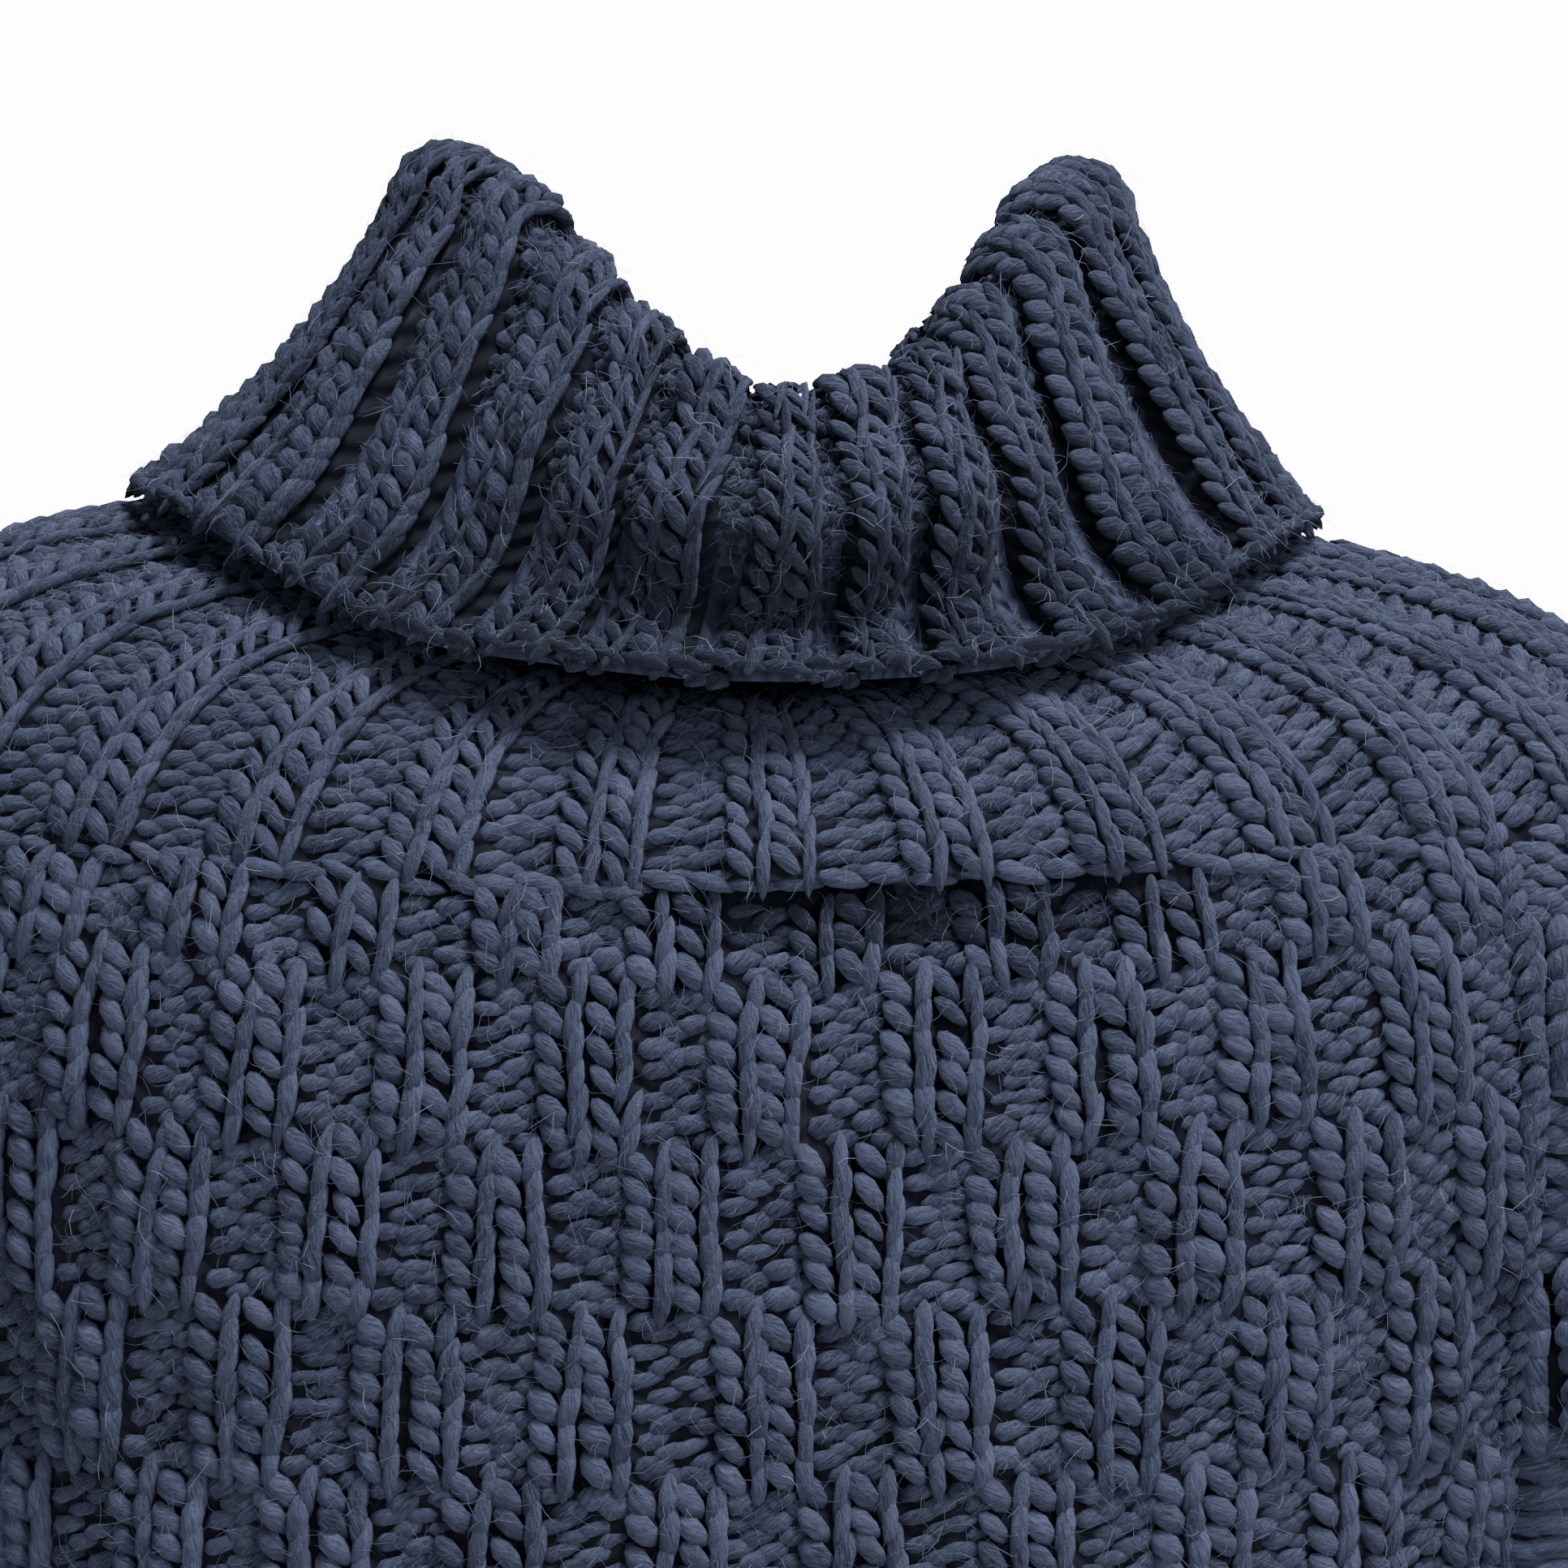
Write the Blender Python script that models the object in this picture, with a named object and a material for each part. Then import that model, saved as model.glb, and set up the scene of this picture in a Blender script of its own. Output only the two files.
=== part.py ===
"""A roll-neck pullover in chunky wool, worn and hollow, with its neck, hem and cuffs open.

Every piece is a wall of knit: a base surface worked out from rings of the garment, thick by
WALL, with the ribs and basketweave blocks raised on its outer side over a plain inside.
Metres, +Z up, front towards -Y. The origin is the middle of the neck at shoulder height.
"""

import math

import bmesh
import bpy
import numpy as np

# --- driving dimensions -------------------------------------------------------------------

WALL = 0.0055               # thickness of the plain knit
SEAM_GAP = 0.0003           # free space between two pieces at a seam
UNDERARM_GAP = 0.0006       # wider where body and sleeve part in a sharp fold
RELIEF = 0.0032             # how far a knit rib or block stands over the purl beside it

RIBS_ROUND = 30             # 2x2 rib repeats round the collar and the yoke
BODY_REPEATS = 26           # basketweave repeats of 4 stitches round the body
TIER = 0.038                # height of one tier of blocks, 6 rows
TOP_TIER = 0.023            # the part tier below the yoke
TIERS_OVER_ARMPIT = 4
TIERS_TO_HEM = 8
TIERS_TO_CUFF = 10
HALF_FRONT = 10             # blocks from the middle of the front to the armhole
HALF_UNDERARM = 3           # blocks cast off on each side of the side seam
SLEEVE_CAP = 10             # blocks over the arm between the two armhole seams
RIB_PHASE = 0.32            # where a knit rib's middle lies, in repeats from the front middle

HEM_HEIGHT = 0.064
CUFF_LENGTH = 0.070
CUFF_REPEATS = 7
ARMHOLE_X = 0.178           # distance of the armhole seam from the middle
ARM_ANGLE = math.radians(22)  # how far the arm hangs out from the body
ARM_FORWARD = 0.055         # how far the wrist hangs forward
ROLL_RADIUS = 0.0085        # of the fold along the collar's top, to the middle of the wall

# Rings round the garment. z is given at the front, at the sides and at the back, and lean
# lowers +X for each metre from the middle.
RING_COLUMNS = ("half_width", "front", "back", "squareness", "z_front", "z_side", "z_back", "lean")
RINGS = {
    "neck": (0.085, 0.078, 0.074, 2.0, -0.036, 0.004, -0.004, 0.028),
    "shoulder": (0.215, 0.110, 0.112, 2.4, -0.045, 0.011, -0.014, 0.040),
    "yoke_edge": (0.237, 0.118, 0.125, 2.6, -0.083, -0.062, -0.080, 0.0),
    "chest": (0.200, 0.130, 0.128, 2.3, -0.258, -0.258, -0.258, 0.0),
    "waist": (0.195, 0.124, 0.121, 2.2, -0.400, -0.400, -0.400, 0.0),
    "hem_top": (0.194, 0.122, 0.120, 2.2, -0.562, -0.562, -0.562, 0.0),
    "hem_edge": (0.182, 0.112, 0.110, 2.2, -0.626, -0.626, -0.626, 0.0),
}

# The collar by angle round the neck, 0 at the front and 90 at +X: the height of its top
# ridge and of the flap's lower edge.
COLLAR = (
    # angle, ridge_z, edge_z
    (-180, 0.040, -0.032),
    (-150, 0.061, -0.013),
    (-120, 0.086, 0.012),
    (-105, 0.094, 0.016),
    (-90, 0.098, 0.013),
    (-60, 0.092, 0.003),
    (-45, 0.083, -0.011),
    (-30, 0.064, -0.025),
    (-15, 0.047, -0.031),
    (0, 0.035, -0.0345),
    (15, 0.0375, -0.034),
    (30, 0.045, -0.0305),
    (45, 0.065, -0.0215),
    (60, 0.085, -0.0065),
    (90, 0.0935, 0.005),
    (105, 0.091, 0.007),
    (120, 0.086, 0.003),
    (145, 0.060, -0.014),
    (160, 0.046, -0.027),
)
RIDGE_HALF_WIDTH = 0.078
RIDGE_HALF_DEPTH = 0.077
RIDGE_SHIFT = 0.009         # the ridge lies this far to +X of the neck
RIDGE_FORWARD = 0.012       # how far the ridge leans over in front
FLAP_HALF_WIDTH = 0.1435
FLAP_FRONT = 0.116
FLAP_BACK = 0.130
FLAP_RIB = 0.0040           # the collar's ribs stand higher than the yoke's
BOUND_EDGE = 0.0010         # and the cord-like bound-off edge stands out by this
COLLAR_ROWS = (
    # place up the stand (0 to 1), over the roll (to 2) and down the flap (to 3), rib
    (0, 0),
    (0.45, 0.4),
    (1.0, 0.6),
    (1.3, 0.9),
    (1.7, 1.0),
    (2.0, 1.0),
    (2.3, 1.1),
    (2.65, 1.0),
    (2.93, 0.7),
    (3.0, 0.3),
)

# The sleeve below the armpit by distance along the arm: half-widths across and front to back.
SLEEVE = (
    # along, across, deep
    (0.000, 0.056, 0.078),
    (0.100, 0.057, 0.070),
    (0.200, 0.053, 0.061),
    (0.300, 0.047, 0.052),
    (0.380, 0.043, 0.047),
)
CUFF_HALF_WIDTH = 0.037     # at the cuff's end
CUFF_HALF_DEPTH = 0.040

# Soft folds: where each lies, how long it is, and how deep.
COLLAR_FOLDS = (
    # angle round the neck, share down the flap, width in degrees, reach down, depth
    (2, 0.30, 36, 0.20, 0.0110),
    (4, 0.74, 40, 0.20, -0.0090),
    (-34, 0.45, 9, 0.40, -0.0035),
    (-58, 0.30, 12, 0.40, 0.0030),
    (-14, 0.36, 7, 0.24, -0.0035),
    (20, 0.50, 7, 0.36, -0.0035),
    (47, 0.40, 10, 0.34, -0.0032),
    (68, 0.55, 12, 0.30, 0.0028),
    (-82, 0.60, 10, 0.34, -0.0026),
    (110, 0.50, 16, 0.34, -0.0030),
    (150, 0.45, 18, 0.34, 0.0035),
    (-130, 0.50, 16, 0.34, -0.0030),
    (-165, 0.45, 16, 0.30, 0.0030),
)
BODY_FOLDS = (
    # angle, z, turn_width, height, depth
    (62, -0.330, 20, 0.080, -0.0060),
    (-58, -0.345, 22, 0.085, -0.0065),
    (30, -0.455, 26, 0.090, 0.0045),
    (-22, -0.500, 24, 0.080, 0.0040),
    (118, -0.350, 22, 0.090, -0.0060),
    (-124, -0.340, 20, 0.080, -0.0060),
    (160, -0.480, 30, 0.090, 0.0050),
    (-150, -0.500, 26, 0.080, 0.0045),
)
SLEEVE_FOLDS = (
    # angle, along, turn_width, length, depth
    (180, 0.150, 70, 0.014, -0.0060),
    (200, 0.195, 80, 0.014, -0.0070),
    (165, 0.240, 70, 0.015, -0.0060),
    (20, 0.300, 60, 0.020, -0.0040),
    (60, 0.325, 50, 0.016, -0.0040),
)

FOLD_EASE = 0.050           # the body's folds fade in over this height below the armpit
SLEEVE_EASE = 0.110         # the sleeve turns from the armhole's shape to an oval over this
UNDERARM_EASE = 0.060       # the blocks beside the underarm reach full height over this
ARMHOLE_TURN = math.radians(128)  # from the top of the arm down to where the armhole ends

YOKE_STEP = 0.0040          # how far the yoke's lower edge stands over the front
STEP_MIDDLE = 0.042         # x of the middle of that step
STEP_REACH = 0.094          # its half-length
YOKE_ROWS = ((0, 0), (0.16, 0.5), (0.36, 1), (0.58, 1), (0.80, 1), (1, 1))  # place, rib

WOOL = {"base": (0.045, 0.058, 0.105, 1.0), "roughness": 0.92}

# --- rings --------------------------------------------------------------------------------

TURN = 2 * math.pi


def outline(half_width, front, back, squareness):
    """Points of a rounded ring, from the front middle round by +X, closed, and their share
    of its length."""
    phi = np.linspace(0, TURN, 1441)
    power = 2 / squareness
    x = half_width * np.sign(np.sin(phi)) * np.abs(np.sin(phi)) ** power
    c = np.sign(np.cos(phi)) * np.abs(np.cos(phi)) ** power
    y = -np.where(c > 0, front, back) * c
    steps = np.hypot(np.diff(x), np.diff(y))
    share = np.concatenate(([0], np.cumsum(steps))) / steps.sum()
    return x, y, share


def ring(name, u):
    """Points of a named ring at shares u of its length, 0 at the front and 0.25 at +X."""
    values = dict(zip(RING_COLUMNS, RINGS[name]))
    x, y, share = outline(*(values[k] for k in RING_COLUMNS[:4]))
    u = np.mod(u, 1.0)
    px = np.interp(u, share, x)
    py = np.interp(u, share, y)
    c = np.cos(TURN * u)
    tilt = (values["z_front"] - values["z_back"]) / 2
    bow = (values["z_front"] + values["z_back"]) / 2 - values["z_side"]
    pz = values["z_side"] + tilt * c + bow * c * c - values["lean"] * px
    return np.stack([px, py, pz], axis=-1)


def share_at_x(name, x_wanted, back=False):
    """The share of a ring's length at which its front or back reaches x_wanted."""
    values = dict(zip(RING_COLUMNS, RINGS[name]))
    x, _, share = outline(*(values[k] for k in RING_COLUMNS[:4]))
    half = slice(360, 721) if back else slice(0, 361)
    xs, us = x[half], share[half]
    order = np.argsort(xs)
    return float(np.interp(x_wanted, xs[order], us[order]))


def smooth_table(rows, at, period=None):
    """Values of a table's columns after the first, read smoothly along that first column."""
    rows = np.array(rows, float)
    keys, values = rows[:, 0], rows[:, 1:]
    if period:
        keys = np.concatenate([keys[-2:] - period, keys, keys[:2] + period])
        values = np.concatenate([values[-2:], values, values[:2]])
        at = np.mod(at - rows[0, 0], period) + rows[0, 0]
    slope = np.gradient(values, keys, axis=0)
    i = np.clip(np.searchsorted(keys, at, side="right") - 1, 0, len(keys) - 2)
    width = (keys[i + 1] - keys[i])[..., None]
    t = (np.clip(at, keys[0], keys[-1]) - keys[i])[..., None] / width
    start, end = values[i], values[i + 1]
    s0, s1 = slope[i] * width, slope[i + 1] * width
    return ((2 * t**3 - 3 * t**2 + 1) * start + (t**3 - 2 * t**2 + t) * s0
            + (3 * t**2 - 2 * t**3) * end + (t**3 - t**2) * s1)


def smoothstep(t):
    t = np.clip(t, 0, 1)
    return t * t * (3 - 2 * t)


def unit(v):
    return v / np.maximum(np.linalg.norm(v, axis=-1, keepdims=True), 1e-12)


# --- surfaces of the pieces ---------------------------------------------------------------
# Each takes grids of u, round the piece, and v, down it, and gives points.


def yoke_surface(u, v):
    v = v[..., None]
    start, bend, end = ring("neck", u), ring("shoulder", u), ring("yoke_edge", u)
    return (1 - v) ** 2 * start + 2 * v * (1 - v) * bend + v * v * end


def gaussian_folds(rows, round_degrees, down):
    """The sum of soft folds at places round and down a tube."""
    depth = np.zeros(np.broadcast(round_degrees, down).shape)
    for angle, place, turn_width, length, fold_depth in rows:
        off = np.mod(round_degrees - angle + 180, 360) - 180
        depth += fold_depth * np.exp(-((off / turn_width) ** 2) - ((down - place) / length) ** 2)
    return depth


def torso_ring(u, z):
    """The body at shares u of its girth and heights z, from the armpit down."""
    rows = [(-RINGS[n][4], *RINGS[n][:4]) for n in ("chest", "waist", "hem_top", "hem_edge")]
    sizes = smooth_table(rows, -z)
    low, high = ring("chest", u), ring("hem_top", u)
    chest = np.array(RINGS["chest"][:2])
    hem = np.array(RINGS["hem_top"][:2])
    t = smoothstep((z - RINGS["chest"][4]) / (RINGS["hem_top"][4] - RINGS["chest"][4]))[..., None]
    p = low * (1 - t) + high * t
    wide = chest * (1 - t) + hem * t
    p[..., 0] *= sizes[..., 0] / wide[..., 0]
    p[..., 1] *= sizes[..., 1] / wide[..., 1]
    p[..., 2] = z
    out = unit(p * np.array([1, 1, 0]))
    fold = gaussian_folds(BODY_FOLDS, np.degrees(np.arctan2(p[..., 0], -p[..., 1])), z)
    fold *= smoothstep((RINGS["chest"][4] - z) / FOLD_EASE)
    return p + out * fold[..., None]


YOKE_FRONT_SHARE = share_at_x("yoke_edge", ARMHOLE_X)
YOKE_BACK_SHARE = share_at_x("yoke_edge", ARMHOLE_X, back=True)
OVER_ARMPIT = TOP_TIER + TIERS_OVER_ARMPIT * TIER
HEM_TOP_Z = RINGS["hem_top"][4]
CHEST_Z = RINGS["chest"][4]


def yoke_share(blocks, back):
    """The share round the yoke's edge above a place on a panel, in blocks from its middle."""
    part = np.clip(blocks / HALF_FRONT, -1, 1)
    if back:
        return 0.5 - part * (0.5 - YOKE_BACK_SHARE)
    return part * YOKE_FRONT_SHARE


def chest_share(blocks, back):
    share = blocks / (2 * BODY_REPEATS)
    return 0.5 - share if back else share


def join_over_armpit(top, leaving, bottom, v):
    """A smooth run from the yoke's edge, leaving it as the yoke does, to the armpit's level."""
    t = v[..., None]
    length = np.linalg.norm(bottom - top, axis=-1, keepdims=True)
    s0 = unit(leaving) * length
    s1 = unit(bottom - top + np.array([0, 0, -0.6]) * length) * length
    return ((2 * t**3 - 3 * t**2 + 1) * top + (t**3 - 2 * t**2 + t) * s0
            + (3 * t**2 - 2 * t**3) * bottom + (t**3 - t**2) * s1)


def yoke_share_over_arm(blocks):
    """The share round the yoke's edge above a place on the right sleeve's cap."""
    part = np.clip(blocks / (SLEEVE_CAP / 2), -1, 1)
    return (YOKE_FRONT_SHARE + YOKE_BACK_SHARE - part * (YOKE_BACK_SHARE - YOKE_FRONT_SHARE)) / 2


def leaving_yoke(u):
    return ring("yoke_edge", u) - ring("shoulder", u)


def panel_surface(blocks, down, back):
    """The front or back. blocks counts from its middle towards +X, and down from the yoke."""
    u_top = yoke_share(blocks, back)
    u_chest = chest_share(blocks, back)
    chest = torso_ring(u_chest, np.full(blocks.shape, CHEST_Z))
    upper = join_over_armpit(ring("yoke_edge", u_top), leaving_yoke(u_top), chest,
                             np.clip(down / OVER_ARMPIT, 0, 1))
    lower = torso_ring(u_chest, CHEST_Z - np.maximum(down - OVER_ARMPIT, 0))
    return np.where((down < OVER_ARMPIT)[..., None], upper, lower)


ALONG_ARM = np.array([math.sin(ARM_ANGLE), 0, -math.cos(ARM_ANGLE)])
ACROSS_ARM = np.array([math.cos(ARM_ANGLE), 0, math.sin(ARM_ANGLE)])
DEEP = np.array([0, -1, 0])
UNDERARM_POINT = np.array([RINGS["chest"][0], 0, CHEST_Z])
ARM_TOP = UNDERARM_POINT + ACROSS_ARM * SLEEVE[0][1]
SLEEVE_BLOCKS = SLEEVE_CAP + 2 * HALF_UNDERARM


def arm_ring(blocks, along):
    """The right sleeve's tube. blocks counts from the top of the arm towards the front."""
    across, deep = np.moveaxis(smooth_table(SLEEVE, along), -1, 0)
    turn = TURN * blocks / SLEEVE_BLOCKS
    fold = gaussian_folds(SLEEVE_FOLDS, np.degrees(turn), along)
    forward = ARM_FORWARD * (along / SLEEVE[-1][0]) ** 2
    centre = ARM_TOP + ALONG_ARM * along[..., None] + DEEP * forward[..., None]
    return (centre + ACROSS_ARM * ((across + fold) * np.cos(turn))[..., None]
            + DEEP * ((deep + fold) * np.sin(turn))[..., None])


def armhole_level(blocks):
    """The ring where the sleeve's cap ends: round the arm, and along the body underneath."""
    half_cap = SLEEVE_CAP / 2
    side = np.sign(blocks)
    beyond = np.clip((np.abs(blocks) - half_cap) / HALF_UNDERARM, 0, 1)
    body_blocks = HALF_FRONT + beyond * HALF_UNDERARM
    front = torso_ring(chest_share(body_blocks, False), np.full(blocks.shape, CHEST_Z))
    back = torso_ring(chest_share(body_blocks, True), np.full(blocks.shape, CHEST_Z))
    under = np.where((side > 0)[..., None], front, back)
    turn = np.clip(blocks / half_cap, -1, 1) * ARMHOLE_TURN
    over = (ARM_TOP + ACROSS_ARM * (SLEEVE[0][1] * np.cos(turn))[..., None]
            + DEEP * (SLEEVE[0][2] * np.sin(turn))[..., None])
    seam_f = torso_ring(np.array(chest_share(HALF_FRONT, False)), np.array(CHEST_Z))
    seam_b = torso_ring(np.array(chest_share(HALF_FRONT, True)), np.array(CHEST_Z))
    seam = np.where((side > 0)[..., None], seam_f, seam_b)
    oval_end = (ARM_TOP + ACROSS_ARM * SLEEVE[0][1] * math.cos(ARMHOLE_TURN)
                + DEEP * SLEEVE[0][2] * math.sin(ARMHOLE_TURN) * side[..., None])
    pull = np.clip(np.abs(blocks) / half_cap, 0, 1)[..., None] ** 3
    over = over + (seam - oval_end) * pull
    return np.where((np.abs(blocks) > half_cap)[..., None], under, over)


def sleeve_surface(blocks, down):
    """The right sleeve. down is from the yoke along the cap, then along the arm."""
    u_top = yoke_share_over_arm(blocks)
    level = armhole_level(blocks)
    upper = join_over_armpit(ring("yoke_edge", u_top), leaving_yoke(u_top), level,
                             np.clip(down / OVER_ARMPIT, 0, 1))
    along = np.maximum(down - OVER_ARMPIT, 0)
    t = smoothstep(along / SLEEVE_EASE)[..., None]
    lower = (level + ALONG_ARM * along[..., None]) * (1 - t) + arm_ring(blocks, along) * t
    return np.where((down < OVER_ARMPIT)[..., None], upper, lower)


def cuff_surface(turns, down):
    """The right cuff. turns goes once round from the top of the arm towards the front."""
    end = SLEEVE[-1]
    start = arm_ring(turns * SLEEVE_BLOCKS, np.full(turns.shape, end[0]))
    t = (down / CUFF_LENGTH)[..., None]
    drop = 2 * ARM_FORWARD / end[0]
    way = unit(ALONG_ARM + DEEP * drop)
    centre = ARM_TOP + ALONG_ARM * end[0] + DEEP * ARM_FORWARD
    a = TURN * turns
    ring_end = (centre + ACROSS_ARM * (CUFF_HALF_WIDTH * np.cos(a))[..., None]
                + DEEP * (CUFF_HALF_DEPTH * np.sin(a))[..., None])
    pulled = smoothstep(t * 2.2)
    return start * (1 - pulled) + ring_end * pulled + way * down[..., None]


def hem_surface(u, down):
    return torso_ring(u, HEM_TOP_Z - down)


def sag(degrees, down):
    """Soft uneven folds of the flap, which rolls forward over itself in front."""
    depth = np.zeros(degrees.shape)
    for angle, spot, turn_width, reach, fold_depth in COLLAR_FOLDS:
        off = np.mod(degrees - angle + 180, 360) - 180
        depth += fold_depth * np.exp(-((off / turn_width) ** 2) - ((down - spot) / reach) ** 2)
    return depth * smoothstep(down / 0.15) * smoothstep((1.05 - down) / 0.15)


def collar_line(u, v):
    """The middle of the collar's wall: v 0 to 1 up the stand, 1 to 2 over the roll, and
    2 to 3 down the flap."""
    degrees = np.mod(360 * u + 180, 360) - 180
    ridge_z, edge_z = np.moveaxis(smooth_table(COLLAR, degrees, 360), -1, 0)
    a = TURN * u
    round_way = np.stack([np.sin(a), -np.cos(a), np.zeros_like(a)], -1)
    base = ring("neck", u) - round_way * WALL / 2
    reach = RIDGE_HALF_DEPTH + RIDGE_FORWARD * smoothstep(np.cos(a))
    top = np.stack([RIDGE_SHIFT + RIDGE_HALF_WIDTH * np.sin(a), -reach * np.cos(a),
                    ridge_z - WALL / 2 - FLAP_RIB - ROLL_RADIUS], -1)
    depth = np.where(np.cos(a) > 0, FLAP_FRONT, FLAP_BACK)
    edge = np.stack([FLAP_HALF_WIDTH * np.sin(a), -depth * np.cos(a), edge_z], -1)
    up = np.array([0, 0, 1.0])
    inner, outer = top - round_way * ROLL_RADIUS, top + round_way * ROLL_RADIUS

    t = np.clip(v, 0, 1)[..., None]
    rise = inner - base
    stand = (1 - t) ** 2 * base + 2 * t * (1 - t) * (inner - up * rise[..., 2:] * 0.5) + t * t * inner
    turn = np.clip(v - 1, 0, 1)[..., None] * math.pi
    roll = top + round_way * (-ROLL_RADIUS * np.cos(turn)) + up * (ROLL_RADIUS * np.sin(turn))
    s = np.clip(v - 2, 0, 1)[..., None]
    fall = edge - outer
    flat_fall = fall * np.array([1, 1, 0])
    drop = fall * up
    p1 = outer + drop * 0.42 + flat_fall * 0.22
    p2 = outer + drop * 0.80 + flat_fall * 0.62
    flap = ((1 - s) ** 3 * outer + 3 * s * (1 - s) ** 2 * p1
            + 3 * s * s * (1 - s) * p2 + s**3 * edge)
    flap = flap + round_way * sag(degrees, np.clip(v - 2, 0, 1))[..., None]
    v = v[..., None]
    return np.where(v < 1, stand, np.where(v < 2, roll, flap))


# --- walls --------------------------------------------------------------------------------


def normals(surface, a, b, step_a, step_b, limits_b, inward=False):
    """Unit normals of a surface by small steps, pointing out of the garment."""
    low, high = np.maximum(b - step_b, limits_b[0]), np.minimum(b + step_b, limits_b[1])
    across = surface(a + step_a, b) - surface(a - step_a, b)
    down = surface(a, high) - surface(a, low)
    n = unit(np.cross(down, across))
    return -n if inward else n


def pull_in(points, present, wrap):
    """Moves the rim of a grid in by half a seam gap, along the grid."""
    moved = points.copy()
    rows, cols = present.shape
    for r in range(rows):
        for c in range(cols):
            if not present[r, c]:
                continue
            for dr, dc in ((1, 0), (-1, 0), (0, 1), (0, -1)):
                near_r, near_c = r + dr, c + dc
                far_r, far_c = r - dr, c - dc
                if wrap:
                    near_c, far_c = near_c % cols, far_c % cols
                inside = 0 <= near_r < rows and 0 <= near_c < cols and present[near_r, near_c]
                beyond = 0 <= far_r < rows and 0 <= far_c < cols and present[far_r, far_c]
                if inside and not beyond:
                    way = unit(points[near_r, near_c] - points[r, c])
                    moved[r, c] += way * SEAM_GAP / 2
    return moved


def build_wall(name, outer, inner, mask=None, wrap=False, plain_cols=None, plain_rows=None):
    """A closed wall from two grids of points. The inside is made of few large faces, with the
    rim's points kept, and mask says which cells of the grid the piece has."""
    rows, cols = outer.shape[0] - 1, outer.shape[1] - (0 if wrap else 1)
    mask = np.ones((rows, cols), bool) if mask is None else mask
    n_cols = outer.shape[1]
    plain_cols = plain_cols or list(range(0, cols + 1))
    plain_rows = plain_rows or list(range(0, rows + 1))
    points, index = [], {}

    def vertex(side, r, c):
        c = c % n_cols if wrap else c
        key = (side, r, c)
        if key not in index:
            index[key] = len(points)
            points.append(tuple((outer if side else inner)[r, c]))
        return index[key]

    def has(r, c):
        if wrap:
            c %= cols
        return 0 <= r < rows and 0 <= c < cols and mask[r, c]

    faces = []
    for r in range(rows):
        for c in range(cols):
            if not has(r, c):
                continue
            corners = ((r, c), (r + 1, c), (r + 1, c + 1), (r, c + 1))
            faces.append([vertex(1, *k) for k in corners])
            beside = ((r, c - 1), (r + 1, c), (r, c + 1), (r - 1, c))
            for k in range(4):
                if not has(*beside[k]):
                    a, b = corners[k], corners[(k + 1) % 4]
                    faces.append([vertex(1, *b), vertex(1, *a), vertex(0, *a), vertex(0, *b)])
    for r0, r1 in zip(plain_rows, plain_rows[1:]):
        for c0, c1 in zip(plain_cols, plain_cols[1:]):
            if not has(r0, c0):
                continue
            loop = []
            rim_above, rim_below = not has(r0 - 1, c0), not has(r1, c0)
            rim_left, rim_right = not has(r0, c0 - 1), not has(r0, c1)
            loop += [(r0, c) for c in range(c0, c1) if c == c0 or rim_above]
            loop += [(r, c1) for r in range(r0, r1) if r == r0 or rim_right]
            loop += [(r1, c) for c in range(c1, c0, -1) if c == c1 or rim_below]
            loop += [(r, c0) for r in range(r1, r0, -1) if r == r1 or rim_left]
            faces.append([vertex(0, *k) for k in loop])
    mesh = bpy.data.meshes.new(name)
    mesh.from_pydata(points, [], faces)
    mesh.validate()
    mesh.shade_smooth()
    mesh.set_sharp_from_angle(angle=math.radians(50))
    obj = bpy.data.objects.new(name, mesh)
    bpy.context.scene.collection.objects.link(obj)
    obj.data.materials.append(wool(name))
    return obj


def wool(name):
    material = bpy.data.materials.new(name + "_wool")
    material.use_nodes = True
    shader = material.node_tree.nodes["Principled BSDF"]
    shader.inputs["Base Color"].default_value = WOOL["base"]
    shader.inputs["Roughness"].default_value = WOOL["roughness"]
    return material


# --- grids with blocks and ribs -----------------------------------------------------------

BLOCK_EDGE = 0.15           # a raised block is flat between this share of it and the rest
BODY_PLAIN = (-13, -10, -8, -6, -4, -2, 0, 2, 4, 6, 8, 10, 13)  # inside columns, in blocks
SLEEVE_PLAIN = (-7.85, -6.15, -5, -3, -1, 1, 3, 5, 6.15)
PLAIN_TIERS = (0, 0.15, 0.85, 2, 4, 6, 8, 10)  # and rows, in tiers below the armpit


def block_lines(blocks, stops):
    """Places across a panel in blocks: two for each block, and one at each stop."""
    lines = [b + e for b in blocks for e in (BLOCK_EDGE, 1 - BLOCK_EDGE)]
    return np.array(sorted(lines + list(stops)))


def tier_lines(tiers_below):
    """Distances down a panel from the yoke: two for each tier, and one at each stop."""
    edge = BLOCK_EDGE * TIER
    lines = [0, edge, TOP_TIER - edge]
    for k in range(TIERS_OVER_ARMPIT + tiers_below):
        top = TOP_TIER + k * TIER
        lines += [top + edge, top + TIER - edge]
    return np.array(sorted(lines + [OVER_ARMPIT, OVER_ARMPIT + tiers_below * TIER]))


def basketweave(blocks, down):
    """1 on a knit block and 0 on a purl block. A tier is offset by a block from the next."""
    tier = np.floor((down - TOP_TIER) / TIER).astype(int)
    column = np.floor(blocks).astype(int)
    return ((tier + column) % 2 == 0).astype(float)


def rib_lines(repeats, phase=RIB_PHASE):
    """Places round a ribbed ring in shares of it: two on each knit rib and two between."""
    return (np.arange(4 * repeats) / 4 + phase - 0.125) / repeats


def rib_height():
    return np.array([1.0, 1.0, 0.0, 0.0])


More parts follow.
